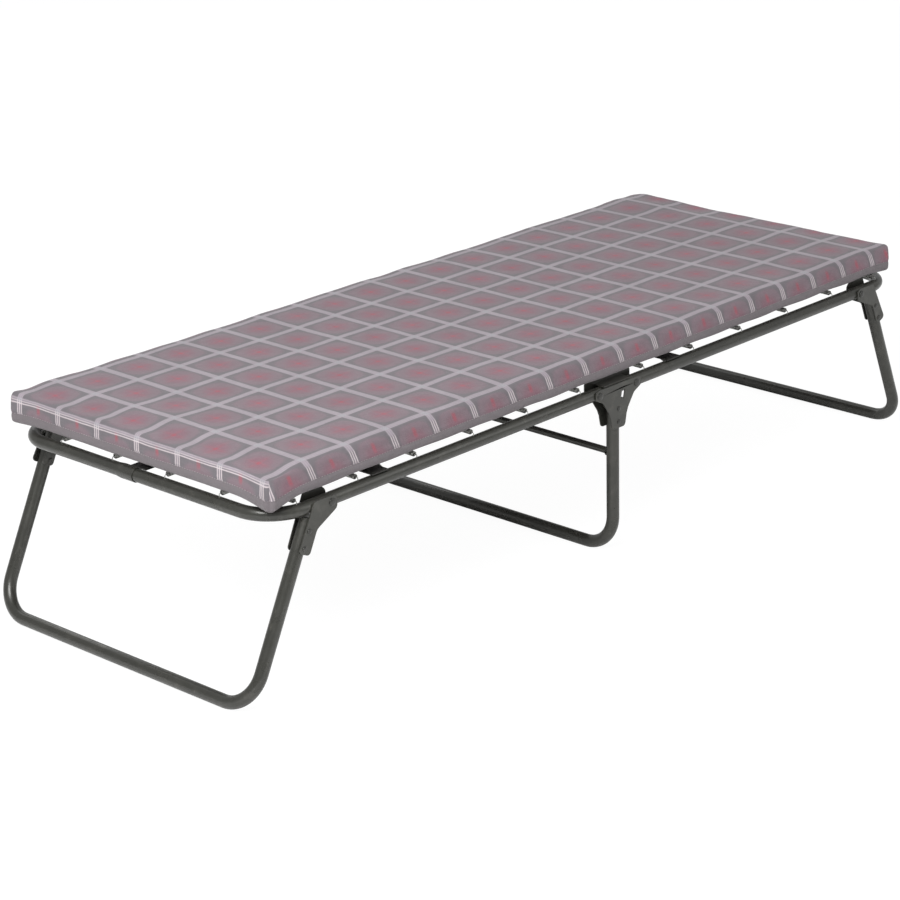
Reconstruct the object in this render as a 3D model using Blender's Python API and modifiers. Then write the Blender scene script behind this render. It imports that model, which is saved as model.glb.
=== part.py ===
"""Folding rollaway bed: two tubular half frames that fold up about a centre leg, with splayed end legs.

Units are metres, +Z is up, +X runs along the bed from head (-X) to foot (+X), and +Y runs across it.
The origin is on the floor under the middle of the bed.

Every moving body hangs from an empty on its own hinge axis. A half bed, and each folding end leg, is
modelled once in its hinge's frame with its free end towards -X, and the foot end is the same body
turned half a turn about +Z.
"""

import math

import bmesh
import bpy
from mathutils import Matrix, Vector

# ---------------------------------------------------------------------------
# Driving dimensions
# ---------------------------------------------------------------------------
HEAD_REACH = 0.865            # middle of the bed to the head end tube's centreline
FOOT_REACH = 0.890            # and to the foot end tube's
FRAME_WIDTH = 0.657           # between the centrelines of the two side rails
RAIL_HEIGHT = 0.331           # side rail centreline above the floor
TUBE_RADIUS = 0.012           # every frame and leg tube
TUBE_WALL = 0.0012
TUBE_SIDES = 12
FRAME_CORNER = 0.075          # centreline radius of a half frame's corner
LEG_CORNER = 0.065            # centreline radius of a leg's foot corner
CORNER_STEPS = 5

FOLD_SPACING = 0.104          # between the two fold axes at the middle
RAIL_END_GAP = 0.016          # between the ends of the two halves' rails
SWING_CLEARANCE = 0.0026      # rail end's swing to the top of the centre leg
CROSSBAR_HEIGHT = 0.205
CROSSBAR_RADIUS = 0.0065

LEG_HEEL_ROOM = 0.013         # frame corner to the end leg's axis, along the rail
LEG_PIVOT_OFFSET = 0.037      # pivot to the leg's axis, along the rail
HEAD_SPLAY = math.radians(25.8)
FOOT_SPLAY = math.radians(22.06)

SOCKET_FLARE = 0.0015         # how far the end tube joint's mouth is flared
SOCKET_DEPTH = 0.035
SOCKET_TAPER = 0.014
JOINT_OFFSET = 0.004          # end tube joint from the bed's long centreline

PLATE_THICKNESS = 0.0025
PLATE_GAP = 0.0005            # plate face to tube
PLATE_BOSS = 0.012            # plate's end radius round a pivot
HIGH_PLATE_LIFT = 0.0093      # top of the inner plates above the rail's top
CENTRE_TAB_DEPTH = 0.075      # centre plate's tab below the rail centreline
CENTRE_TAB_HALF = 0.018
CENTRE_WAIST_HALF = 0.024     # where the plate's flare meets its tab
CENTRE_WAIST_SHARE = 0.60     # that place, as a share of the tab's depth
CENTRE_SHOULDER_INSET = 0.008
CENTRE_SHOULDER_DROP = 0.004
LOW_PLATE_CORNER = 0.010      # top corners of the outer plates
HIGH_PLATE_CORNER = 0.004     # and of the inner ones
CENTRE_PLATE_RADII = (0.005, 0.012, 0.030, 0.007)            # down one side, from the boss to the tab's tip
LEG_TAB_LENGTH = 0.080        # end plate's tab along the leg's axis
LEG_TAB_NARROW = 0.009        # leg's axis to the tab's edge, on its narrow side
LEG_TAB_WIDE = 0.017          # and on its wide side
FLANGE_CLEARANCE = 0.002      # stop flange to a rail that stands upright

FOLD_PIN_RADIUS = 0.004
LEG_PIN_RADIUS = 0.004
RIVET_RADIUS = 0.0025
END_PIN_RADIUS = 0.003
END_PIN_INSET = 0.007         # rail end to the end pin
SLOT_RADIUS = 0.0042
SLOT_DROP = 0.0215            # slot's lower centre below the rail centreline
SLOT_SHIFT = 0.005            # slot's lower centre back towards the middle
HEAD_SPREAD = 1.8             # a pin's head radius over its shank's
HEAD_RISE = 0.7               # and its head's height
HOLE_CLEARANCE = 0.0003
TOUCH_GAP = 0.0003

SPRING_SPAN = 0.050           # rail centreline to the deck's border wire
SPRING_LENGTH = 0.026
SPRING_RADIUS = 0.0045
SPRING_WIRE = 0.0012
SPRING_SIDES = 6
SPRING_LIFT = 0.0055          # spring axis above the rail's top
SIDE_SPRINGS = 6              # on each side of a half
FIRST_SPRING = 0.091          # from the middle of the bed to the first side spring
LAST_SPRING_INSET = 0.058     # end tube's centreline to the last side spring
END_SPRINGS = 4
END_SPRING_PITCH = 0.136
DECK_WIRE = 0.0030
DECK_INNER = 0.010            # inner border of a deck from the middle of the bed

STRAP_WIDTH = 0.040
STRAP_THICKNESS = 0.0015
HEAD_STRAP_BAY = 3.66         # cross strap from the first side spring, in spring pitches
FOOT_STRAP_BAY = 0.55
STRAP_OVERLAP = 0.006         # past the rail centreline

MATTRESS_LENGTH = 1.752
MATTRESS_WIDTH = 0.677
MATTRESS_THICKNESS = 0.0555
MATTRESS_LIFT = 0.0105        # underside above the rail's top
MATTRESS_BEND = 0.160         # half length of the bending middle
MATTRESS_CORNER = 0.030

# ---------------------------------------------------------------------------
# Derived places
# ---------------------------------------------------------------------------
TUBE_FLAT = TUBE_RADIUS * math.cos(math.pi / TUBE_SIDES)     # axis to the middle of a facet
FACET_TURN = math.pi / TUBE_SIDES                            # turns a facet to face along an axis
FOLD_X = FOLD_SPACING / 2
RAIL_Y = FRAME_WIDTH / 2
RAIL_END_X = RAIL_END_GAP / 2
RAIL_REACH = FOLD_X - RAIL_END_X                             # rail end past its fold axis, towards the middle
PLATE_FACE = TUBE_RADIUS + PLATE_GAP
GRIP = 2 * (PLATE_FACE + PLATE_THICKNESS + TOUCH_GAP)        # between the two heads of a pin
LEG_ORIGIN = Vector((-LEG_PIVOT_OFFSET, 0.0, 0.0))
SOCKET_RADIUS = TUBE_RADIUS + SOCKET_FLARE
STRAP_RISE = SOCKET_RADIUS + TOUCH_GAP
SPRING_RISE = TUBE_RADIUS + SPRING_LIFT
MATTRESS_RISE = TUBE_RADIUS + MATTRESS_LIFT
HIGH_PLATE_RISE = TUBE_RADIUS + HIGH_PLATE_LIFT
STOP_FLANGE_HALF = FOLD_X - TUBE_RADIUS - FLANGE_CLEARANCE
RAIL_SWING = math.hypot(RAIL_REACH, TUBE_RADIUS)             # fold axis to the rail end's far edge
CENTRE_LEG_DROP = math.sqrt(RAIL_SWING ** 2 - (FOLD_X - TUBE_RADIUS) ** 2) + SWING_CLEARANCE
DECK_Y = RAIL_Y - SPRING_SPAN

SIDES = {"near": -1, "far": 1}


class EndPlan:
    """One end of the bed: how far it reaches, how its leg is splayed, and the places that follow."""

    def __init__(self, name, turned, reach, splay, strap_bay):
        self.name = name
        self.turned = turned
        self.reach = reach
        self.splay = splay
        self.spring_pitch = (reach - LAST_SPRING_INSET - FIRST_SPRING) / (SIDE_SPRINGS - 1)
        self.strap_place = FIRST_SPRING + strap_bay * self.spring_pitch
        self.end_x = FOLD_X - reach
        self.pivot_x = FOLD_X - (reach - FRAME_CORNER - LEG_HEEL_ROOM - LEG_PIVOT_OFFSET)
        self.leg_axis = Vector((-math.sin(splay), 0.0, -math.cos(splay)))
        self.leg_start = (TUBE_RADIUS + TOUCH_GAP + TUBE_RADIUS * math.sin(splay)) / math.cos(splay)
        self.leg_end = (RAIL_HEIGHT - TUBE_FLAT) / math.cos(splay)

    def spring_columns(self):
        """The X of each side spring, from the first one to the last."""
        return [FOLD_X - FIRST_SPRING - index * self.spring_pitch for index in range(SIDE_SPRINGS)]

    def along_leg(self, distance, across=0.0):
        """A point in the leg's side view: distance down its axis, across towards the bed's middle."""
        inboard = Vector((math.cos(self.splay), 0.0, -math.sin(self.splay)))
        return LEG_ORIGIN + self.leg_axis * distance + inboard * across


ENDS = [
    EndPlan("head", False, HEAD_REACH, HEAD_SPLAY, HEAD_STRAP_BAY),
    EndPlan("foot", True, FOOT_REACH, FOOT_SPLAY, FOOT_STRAP_BAY),
]


# ---------------------------------------------------------------------------
# Scene
# ---------------------------------------------------------------------------
def clear_scene():
    for item in list(bpy.context.scene.objects):
        bpy.data.objects.remove(item, do_unlink=True)


def new_collection(name):
    collection = bpy.data.collections.new(name)
    bpy.context.scene.collection.children.link(collection)
    return collection


clear_scene()
PARTS = new_collection("rollaway_bed")
CUTTERS = new_collection("cutters")


def principled(name, colour, roughness, metallic):
    material = bpy.data.materials.new(name)
    material.use_nodes = True
    shader = material.node_tree.nodes["Principled BSDF"]
    shader.inputs["Base Color"].default_value = (*colour, 1.0)
    shader.inputs["Roughness"].default_value = roughness
    shader.inputs["Metallic"].default_value = metallic
    return material


def painted_steel(name):
    return principled(name, (0.085, 0.085, 0.075), 0.38, 0.35)


def plated_steel(name):
    return principled(name, (0.62, 0.62, 0.60), 0.30, 1.0)


def plaid_cloth(name):
    return principled(name, (0.22, 0.19, 0.20), 0.90, 0.0)


def empty(name, place, turn=0.0, parent=None):
    """An empty at a hinge axis, placed in its parent's frame."""
    holder = bpy.data.objects.new(name, None)
    holder.location = place
    holder.rotation_euler = (0.0, 0.0, turn)
    holder.parent = parent
    PARTS.objects.link(holder)
    return holder


def add_object(name, mesh, parent, collection):
    item = bpy.data.objects.new(name, mesh)
    item.parent = parent
    collection.objects.link(item)
    return item


def add_part(name, mesh, parent, finish):
    item = add_object(name, mesh, parent, PARTS)
    mesh.materials.append(finish(name + "_finish"))
    return item


def add_cutter(name, mesh, parent):
    item = add_object(name, mesh, parent, CUTTERS)
    item.hide_render = True
    item.display_type = "WIRE"
    return item


def boolean(item, operand, operation):
    modifier = item.modifiers.new(operation.lower() + "_" + operand.name, "BOOLEAN")
    modifier.operation = operation
    modifier.object = operand


def shade(mesh):
    mesh.shade_smooth()
    mesh.set_sharp_from_angle(angle=math.radians(40))


# ---------------------------------------------------------------------------
# Shapes
# ---------------------------------------------------------------------------
def rounded_path(corners, radii, steps, closed=False):
    """Points along straight runs through corners, each corner rounded by its own radius."""
    count = len(corners)
    points = []
    for index, corner in enumerate(corners):
        radius = radii[index]
        if radius == 0.0 or (not closed and index in (0, count - 1)):
            points.append(corner.copy())
            continue
        back = (corners[index - 1] - corner).normalized()
        ahead = (corners[(index + 1) % count] - corner).normalized()
        opening = back.angle(ahead)
        middle = (back + ahead).normalized()
        centre = corner + middle * (radius / math.sin(opening / 2))
        start = corner + back * (radius / math.tan(opening / 2)) - centre
        end = corner + ahead * (radius / math.tan(opening / 2)) - centre
        sweep = math.pi - opening
        turns = max(1, round(steps * sweep / (math.pi / 2)))
        for turn in range(turns + 1):
            part = turn / turns
            first = math.sin((1 - part) * sweep) / math.sin(sweep)
            second = math.sin(part * sweep) / math.sin(sweep)
            points.append(centre + start * first + end * second)
    return points


def mesh_from_curve(curve, weld):
    """The evaluated mesh of a curve, with loose caps welded on when they are there."""
    holder = bpy.data.objects.new(curve.name + "_curve", curve)
    CUTTERS.objects.link(holder)
    graph = bpy.context.evaluated_depsgraph_get()
    mesh = bpy.data.meshes.new_from_object(holder.evaluated_get(graph))
    bpy.data.objects.remove(holder, do_unlink=True)
    if weld:
        work = bmesh.new()
        work.from_mesh(mesh)
        bmesh.ops.remove_doubles(work, verts=work.verts, dist=0.00001)
        work.to_mesh(mesh)
        work.free()
    mesh.name = curve.name
    return mesh


def swept(name, points, radius, sides, capped, scales=None, tilt=0.0):
    """A round tube or wire along points, as a mesh. scales thickens or thins it at each point."""
    curve = bpy.data.curves.new(name, "CURVE")
    curve.dimensions = "3D"
    curve.bevel_depth = radius
    curve.bevel_resolution = (sides - 4) // 2
    curve.use_fill_caps = capped
    spline = curve.splines.new("POLY")
    spline.points.add(len(points) - 1)
    for index, point in enumerate(points):
        spline.points[index].co = (*point, 1.0)
        spline.points[index].tilt = tilt
        spline.points[index].radius = scales[index] if scales else 1.0
    return mesh_from_curve(curve, capped)


def flat_outline(name, loops, thickness):
    """A flat piece in its own XY plane, centred on it. The first loop is its edge, the rest are holes."""
    curve = bpy.data.curves.new(name, "CURVE")
    curve.dimensions = "2D"
    curve.fill_mode = "BOTH"
    curve.extrude = thickness / 2
    for loop in loops:
        spline = curve.splines.new("POLY")
        spline.points.add(len(loop) - 1)
        spline.use_cyclic_u = True
        for index, point in enumerate(loop):
            spline.points[index].co = (point[0], point[1], 0.0, 1.0)
    return mesh_from_curve(curve, True)


def plate_mesh(name, corners, radii, y):
    """A pressed plate standing in the XZ plane, centred at y. Corners are (x, z) pairs."""
    flat = [Vector((x, z, 0.0)) for x, z in corners]
    mesh = flat_outline(name, [rounded_path(flat, radii, CORNER_STEPS, closed=True)], PLATE_THICKNESS)
    mesh.transform(Matrix.Translation((0.0, y, 0.0)) @ Matrix.Rotation(math.pi / 2, 4, "X"))
    return mesh


def box_mesh(name, low, high):
    mesh = bpy.data.meshes.new(name)
    work = bmesh.new()
    bmesh.ops.create_cube(work, size=1.0)
    work.to_mesh(mesh)
    work.free()
    size = [high[axis] - low[axis] for axis in range(3)]
    middle = [(high[axis] + low[axis]) / 2 for axis in range(3)]
    mesh.transform(Matrix.Translation(middle) @ Matrix.Diagonal((*size, 1.0)))
    return mesh


def rod_mesh(name, radius, length, place, sides=TUBE_SIDES):
    """A plain rod along Y, centred at place."""
    mesh = bpy.data.meshes.new(name)
    work = bmesh.new()
    bmesh.ops.create_cone(work, cap_ends=True, segments=sides, radius1=radius, radius2=radius, depth=length)
    work.to_mesh(mesh)
    work.free()
    mesh.transform(Matrix.Translation(place) @ Matrix.Rotation(math.pi / 2, 4, "X"))
    return mesh


def headed_pin(name, radius, place, parent, sides):
    """A pin or rivet along Y, headed at both ends of the plates' grip, turned from its profile."""
    head_radius = HEAD_SPREAD * radius
    head_height = HEAD_RISE * radius
    top = GRIP / 2
    profile = [
        (0.0, top + head_height),
        (0.7 * head_radius, top + 0.8 * head_height),
        (head_radius, top),
        (radius, top),
        (radius, -top),
        (head_radius, -top),
        (0.7 * head_radius, -top - 0.8 * head_height),
        (0.0, -top - head_height),
    ]
    mesh = bpy.data.meshes.new(name)
    mesh.from_pydata([(x, 0.0, z) for x, z in profile], [(i, i + 1) for i in range(len(profile) - 1)], [])
    item = add_part(name, mesh, parent, painted_steel)
    item.location = place
    item.rotation_euler = (math.pi / 2, 0.0, 0.0)
    turn = item.modifiers.new("turn", "SCREW")
    turn.steps = sides
    turn.render_steps = sides
    turn.use_merge_vertices = True
    turn.merge_threshold = 0.00001
    turn.use_smooth_shade = False
    return item


def hole_cutter(name, radius, place, parent, sides):
    mesh = rod_mesh(name + "_hole", radius + HOLE_CLEARANCE, 1.5 * GRIP, place, sides)
    return add_cutter(name + "_hole", mesh, parent)


def pinned(name, radius, place, parent, pieces, sides):
    """A headed pin through the pieces, each drilled for it with a named clearance."""
    headed_pin(name, radius, place, parent, sides)
    cutter = hole_cutter(name, radius, place, parent, sides)
    for piece in pieces:
        boolean(piece, cutter, "DIFFERENCE")


def hollow_tube(name, points, parent, tilt, scales=None):
    mesh = swept(name, points, TUBE_RADIUS, TUBE_SIDES, False, scales, tilt)
    shade(mesh)
    item = add_part(name, mesh, parent, painted_steel)
    wall = item.modifiers.new("wall", "SOLIDIFY")
    wall.thickness = TUBE_WALL
    wall.offset = -1.0
    return item


# ---------------------------------------------------------------------------
# Centre stand
# ---------------------------------------------------------------------------
def centre_leg(parent):
    top = RAIL_HEIGHT - CENTRE_LEG_DROP
    corners = [
        Vector((0.0, -RAIL_Y, top)),
        Vector((0.0, -RAIL_Y, TUBE_FLAT)),
        Vector((0.0, RAIL_Y, TUBE_FLAT)),
        Vector((0.0, RAIL_Y, top)),
    ]
    points = rounded_path(corners, [0.0, LEG_CORNER, LEG_CORNER, 0.0], CORNER_STEPS)
    return hollow_tube("centre_leg", points, parent, FACET_TURN)


def centre_crossbar(parent):
    reach = RAIL_Y - TUBE_RADIUS - TOUCH_GAP
    mesh = rod_mesh("centre_crossbar", CROSSBAR_RADIUS, 2 * reach, (0.0, 0.0, CROSSBAR_HEIGHT))
    shade(mesh)
    return add_part("centre_crossbar", mesh, parent, painted_steel)


def centre_plate(name, parent, y, top):
    """V-shaped plate: a boss round each fold axis, tapering to a tab down the leg."""
    boss = FOLD_X + PLATE_BOSS
    drop = CENTRE_TAB_DEPTH
    right = [
        (boss, top),
        (boss, -PLATE_BOSS / 2),
        (FOLD_X - CENTRE_SHOULDER_INSET, -PLATE_BOSS - CENTRE_SHOULDER_DROP),
        (CENTRE_WAIST_HALF, -CENTRE_WAIST_SHARE * drop),
        (CENTRE_TAB_HALF, -drop),
    ]
    left = [(-x, z) for x, z in reversed(right)]
    top_radius = HIGH_PLATE_CORNER if top > PLATE_BOSS else LOW_PLATE_CORNER
    side_radii = [top_radius, *CENTRE_PLATE_RADII]
    mesh = plate_mesh(name, right + left, side_radii + side_radii[::-1], y)
    mesh.transform(Matrix.Translation((0.0, 0.0, RAIL_HEIGHT)))
    return add_part(name, mesh, parent, painted_steel)


def slot_cutter(parent):
    """A slot beside the foot half's end pin, cut through the plates of one side or the other."""
    start = Vector((RAIL_END_X + END_PIN_INSET, 0.0, 0.0))
    end = start + Vector((-SLOT_SHIFT, -SLOT_DROP, 0.0))
    across = (end - start).normalized().cross(Vector((0.0, 0.0, 1.0))) * SLOT_RADIUS
    loop = []
    for centre, first in ((start, 0.0), (end, math.pi)):
        for step in range(CORNER_STEPS + 2):
            angle = first + math.pi * step / (CORNER_STEPS + 1)
            loop.append(centre + Matrix.Rotation(angle, 3, "Z") @ across)
    mesh = flat_outline("slot", [loop], 2 * (RAIL_Y + GRIP))
    mesh.transform(Matrix.Translation((0.0, 0.0, RAIL_HEIGHT)) @ Matrix.Rotation(math.pi / 2, 4, "X"))
    return add_cutter("slot_cutter", mesh, parent)


def stop_flange(name, parent, side):
    """The flange bent outward from an inner plate's top, which stops both rail ends from rising."""
    inner = RAIL_Y - PLATE_FACE - PLATE_THICKNESS
    outer = RAIL_Y + PLATE_FACE - TOUCH_GAP
    low_y, high_y = sorted((side * inner, side * outer))
    low_z = RAIL_HEIGHT + TUBE_RADIUS + TOUCH_GAP
    low = (-STOP_FLANGE_HALF, low_y, low_z)
    high = (STOP_FLANGE_HALF, high_y, low_z + PLATE_THICKNESS)
    return add_cutter(name + "_flange", box_mesh(name + "_flange", low, high), parent)


def build_centre_stand():
    stand = empty("centre_stand", (0.0, 0.0, 0.0))
    leg = centre_leg(stand)
    centre_crossbar(stand)
    slot = slot_cutter(stand)
    plates = {}
    for side_name, side in SIDES.items():
        offset = PLATE_FACE + PLATE_THICKNESS / 2
        outer = centre_plate(f"centre_plate_{side_name}_outer", stand, side * (RAIL_Y + offset), PLATE_BOSS)
        inner = centre_plate(f"centre_plate_{side_name}_inner", stand, side * (RAIL_Y - offset), HIGH_PLATE_RISE)
        boolean(inner, stop_flange(inner.name, stand, side), "UNION")
        for plate in (outer, inner):
            boolean(plate, slot, "DIFFERENCE")
        plates[side_name] = [outer, inner]
        for level, share in (("upper", 0.50), ("lower", 0.84)):
            place = (0.0, side * RAIL_Y, RAIL_HEIGHT - share * CENTRE_TAB_DEPTH)
            pinned(f"centre_rivet_{side_name}_{level}", RIVET_RADIUS, place, stand, [outer, inner, leg], 8)
    return stand, plates


# ---------------------------------------------------------------------------
# Half bed: rails, deck, strap and mattress, in the fold axis' frame
# ---------------------------------------------------------------------------
def rail_tube(name, parent, side, socket, end_x):
    """A side rail bent into half of the end tube. One of the pair ends in the flared socket."""
    joint_y = JOINT_OFFSET
    corners = [
        Vector((RAIL_REACH, side * RAIL_Y, 0.0)),
        Vector((end_x, side * RAIL_Y, 0.0)),
        Vector((end_x, joint_y, 0.0)),
    ]
    points = rounded_path(corners, [0.0, FRAME_CORNER, 0.0], CORNER_STEPS)
    scales = [1.0] * len(points)
    if socket:
        mouth = points.pop()
        scales.pop()
        flare = SOCKET_RADIUS / TUBE_RADIUS
        run = Vector((0.0, side, 0.0))
        points += [mouth + run * (SOCKET_DEPTH + SOCKET_TAPER), mouth + run * SOCKET_DEPTH, mouth]
        scales += [1.0, flare, flare]
    else:
        points[-1] = points[-1] - Vector((0.0, side * (SOCKET_DEPTH - TOUCH_GAP), 0.0))
    return hollow_tube(name, points, parent, FACET_TURN, scales)


def spring_mesh(name, foot, inward):
    """One deck spring's outline: hook down to the rail, thin end, coil barrel, thin end in the border."""
    up = Vector((0.0, 0.0, 1.0))
    axis = foot + up * SPRING_RISE
    slack = (SPRING_SPAN - SPRING_LENGTH) / 2
    start = axis + inward * slack
    end = axis + inward * (slack + SPRING_LENGTH)
    lead = inward * 0.003
    points = [
        foot + up * (TUBE_RADIUS + TOUCH_GAP),
        axis,
        start,
        start + lead,
        end - lead,
        end,
        axis + inward * SPRING_SPAN + up * (DECK_WIRE / 2),
    ]
    barrel = SPRING_RADIUS / SPRING_WIRE
    return swept(name, points, SPRING_WIRE, SPRING_SIDES, True, [1.0, 1.0, 1.0, barrel, barrel, 1.0, 1.0])


def joined(name, meshes):
    work = bmesh.new()
    for mesh in meshes:
        work.from_mesh(mesh)
        bpy.data.meshes.remove(mesh)
    mesh = bpy.data.meshes.new(name)
    work.to_mesh(mesh)
    work.free()
    return mesh


def spring_places(plan):
    """Spring feet on the rails and the direction in which each one pulls the deck."""
    places = []
    for side in SIDES.values():
        for x in plan.spring_columns():
            places.append((Vector((x, side * RAIL_Y, 0.0)), Vector((0.0, -side, 0.0))))
    for index in range(END_SPRINGS):
        y = (index - (END_SPRINGS - 1) / 2) * END_SPRING_PITCH
        places.append((Vector((plan.end_x, y, 0.0)), Vector((1.0, 0.0, 0.0))))
    return places


def lattice_mesh(name, columns, rows, width):
    """Square wires crossing in one plane, centred on it: one at each column's X and at each row's Y."""
    xs = sorted(place + side * width / 2 for place in columns for side in (-1, 1))
    ys = sorted(place + side * width / 2 for place in rows for side in (-1, 1))

    def solid(i, j):
        inside = 0 <= i < len(xs) - 1 and 0 <= j < len(ys) - 1
        return inside and (i % 2 == 0 or j % 2 == 0)

    work = bmesh.new()
    low = [[work.verts.new((x, y, -width / 2)) for y in ys] for x in xs]
    high = [[work.verts.new((x, y, width / 2)) for y in ys] for x in xs]
    for i in range(len(xs) - 1):
        for j in range(len(ys) - 1):
            if not solid(i, j):
                continue
            ring = [(i, j), (i + 1, j), (i + 1, j + 1), (i, j + 1)]
            beside = [(i, j - 1), (i + 1, j), (i, j + 1), (i - 1, j)]
            work.faces.new([high[a][b] for a, b in ring])
            work.faces.new([low[a][b] for a, b in reversed(ring)])
            for first, second, cell in zip(ring, ring[1:] + ring[:1], beside):
                if not solid(*cell):
                    a, b = first
                    c, d = second
                    work.faces.new([low[a][b], low[c][d], high[c][d], high[a][b]])
    mesh = bpy.data.meshes.new(name)
    work.to_mesh(mesh)
    work.free()
    return mesh


def deck(name, parent, plan):
    """Welded wire deck: a lattice in one plane, joined to the springs that hang it in the frame."""
    half = DECK_WIRE / 2
    columns = [FOLD_X - DECK_INNER]
    columns += plan.spring_columns()[:-1]
    columns += [plan.end_x + SPRING_SPAN]
    rows = [-DECK_Y]
    rows += [(index - (END_SPRINGS - 1) / 2) * END_SPRING_PITCH for index in range(END_SPRINGS)]
    rows += [DECK_Y]
    mesh = lattice_mesh(name, columns, rows, DECK_WIRE)
    mesh.transform(Matrix.Translation((0.0, 0.0, SPRING_RISE + half)))
    item = add_part(name, mesh, parent, plated_steel)
    springs = [spring_mesh(f"{name}_spring", foot, inward) for foot, inward in spring_places(plan)]
    cutter = add_cutter(name + "_springs", joined(name + "_springs", springs), parent)
    boolean(item, cutter, "UNION")
    return item


def brace_strap(name, parent, place, tail):
    """A flat T: a strap across both rails with a tail to the end tube's joint."""
    half = STRAP_WIDTH / 2
    reach = RAIL_Y + STRAP_OVERLAP
    cross = FOLD_X - place
    loop = [
        (cross + half, -reach),
        (cross + half, reach),
        (cross - half, reach),
        (cross - half, half),
        (tail, half),
        (tail, -half),
        (cross - half, -half),
        (cross - half, -reach),
    ]
    mesh = flat_outline(name, [loop], STRAP_THICKNESS)
    mesh.transform(Matrix.Translation((0.0, 0.0, STRAP_RISE + STRAP_THICKNESS / 2)))
    return add_part(name, mesh, parent, painted_steel)


def cushion(name, parent, inner, outer, rounded_end):
    """One stretch of the foam mattress, from inner to outer, along local -X."""
    half = MATTRESS_WIDTH / 2
    corner = MATTRESS_CORNER if rounded_end else 0.0
    flat = [Vector((inner, -half, 0)), Vector((inner, half, 0)), Vector((outer, half, 0)), Vector((outer, -half, 0))]
    outline = rounded_path(flat, [0.0, 0.0, corner, corner], CORNER_STEPS, closed=True)
    mesh = flat_outline(name, [outline], MATTRESS_THICKNESS)
    mesh.transform(Matrix.Translation((0.0, 0.0, MATTRESS_RISE + MATTRESS_THICKNESS / 2)))
    return add_part(name, mesh, parent, plaid_cloth)


def end_pin(name, parent, side, rail):
    """The plain pin that closes a rail's end, just proud of the tube."""
    place = (RAIL_REACH - END_PIN_INSET, side * RAIL_Y, 0.0)
    length = 2 * (TUBE_RADIUS + TOUCH_GAP / 2)
    add_part(name, rod_mesh(name, END_PIN_RADIUS, length, place, 8), parent, painted_steel)
    boolean(rail, hole_cutter(name, END_PIN_RADIUS, place, parent, 8), "DIFFERENCE")


def side_name(side, turned):
    """World name of a local side: turning the foot end about +Z swaps near and far."""
    world = -side if turned else side
    return "far" if world > 0 else "near"


def build_half(plan, plates):
    end = plan.name
    place = (FOLD_X if plan.turned else -FOLD_X, 0.0, RAIL_HEIGHT)
    half = empty(end + "_half", place, math.pi if plan.turned else 0.0)
    rails = {}
    for side in SIDES.values():
        world = side_name(side, plan.turned)
        rail = rail_tube(f"{end}_rail_{world}", half, side, side > 0, plan.end_x)
        rails[side] = rail
        pieces = plates[world] + [rail]
        pinned(f"{end}_fold_pin_{world}", FOLD_PIN_RADIUS, (0.0, side * RAIL_Y, 0.0), half, pieces, 10)
        end_pin(f"{end}_rail_end_pin_{world}", half, side, rail)
    deck(end + "_deck", half, plan)
    brace_strap(end + "_brace_strap", half, plan.strap_place, plan.end_x)
    cushion(end + "_mattress", half, FOLD_X - MATTRESS_BEND, FOLD_X - MATTRESS_LENGTH / 2, True)
    return half, rails


# ---------------------------------------------------------------------------
# Folding end leg, in its pivot's frame
# ---------------------------------------------------------------------------
def end_leg_tube(name, parent, plan):
    out = Vector((0.0, RAIL_Y, 0.0))
    top = plan.along_leg(plan.leg_start)
    foot = plan.along_leg(plan.leg_end)
    corners = [top - out, foot - out, foot + out, top + out]
    points = rounded_path(corners, [0.0, LEG_CORNER, LEG_CORNER, 0.0], CORNER_STEPS)
    return hollow_tube(name, points, parent, FACET_TURN - plan.splay)


def end_plate(name, parent, y, high, plan):
    """Gusset plate: round its pivot, along the rail, and down the leg as a tab.

    All corners share one stamping, so its wide side faces inboard at local -Y and outboard at local +Y.
    """
    top = HIGH_PLATE_RISE if high else PLATE_BOSS
    inboard, outboard = (LEG_TAB_WIDE, LEG_TAB_NARROW) if y < 0 else (LEG_TAB_NARROW, LEG_TAB_WIDE)
    tip_out = plan.along_leg(LEG_TAB_LENGTH, -outboard)
    tip_in = plan.along_leg(LEG_TAB_LENGTH, inboard)
    hollow = plan.along_leg(0.42 * LEG_TAB_LENGTH, inboard)
    heel = plan.along_leg(-PLATE_BOSS, -LEG_TAB_NARROW)
    corners = [(PLATE_BOSS, -PLATE_BOSS), (PLATE_BOSS, PLATE_BOSS)]
    radii = [0.009, 0.009]
    if high:
        corners += [(0.003, top)]
        radii += [0.002]
    corners += [(heel.x, top), (tip_out.x, tip_out.z), (tip_in.x, tip_in.z), (hollow.x, hollow.z)]
    radii += [0.003, 0.007, 0.007, 0.014]
    return add_part(name, plate_mesh(name, corners, radii, y), parent, painted_steel)


def build_end_leg(plan, half, rails):
    end = plan.name
    leg = empty(end + "_leg", (plan.pivot_x, 0.0, 0.0), 0.0, half)
    tube = end_leg_tube(end + "_leg_tube", leg, plan)
    offset = PLATE_FACE + PLATE_THICKNESS / 2
    for side in SIDES.values():
        world = side_name(side, plan.turned)
        outer = end_plate(f"{end}_leg_plate_{world}_outer", leg, side * (RAIL_Y + offset), False, plan)
        inner = end_plate(f"{end}_leg_plate_{world}_inner", leg, side * (RAIL_Y - offset), True, plan)
        pivot = (0.0, side * RAIL_Y, 0.0)
        pinned(f"{end}_leg_pin_{world}", LEG_PIN_RADIUS, pivot, leg, [outer, inner, rails[side]], 10)
        for level, share in (("upper", 0.50), ("lower", 0.88)):
            place = plan.along_leg(share * LEG_TAB_LENGTH) + Vector((0.0, side * RAIL_Y, 0.0))
            pinned(f"{end}_leg_rivet_{world}_{level}", RIVET_RADIUS, place, leg, [outer, inner, tube], 8)
    return leg


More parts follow.
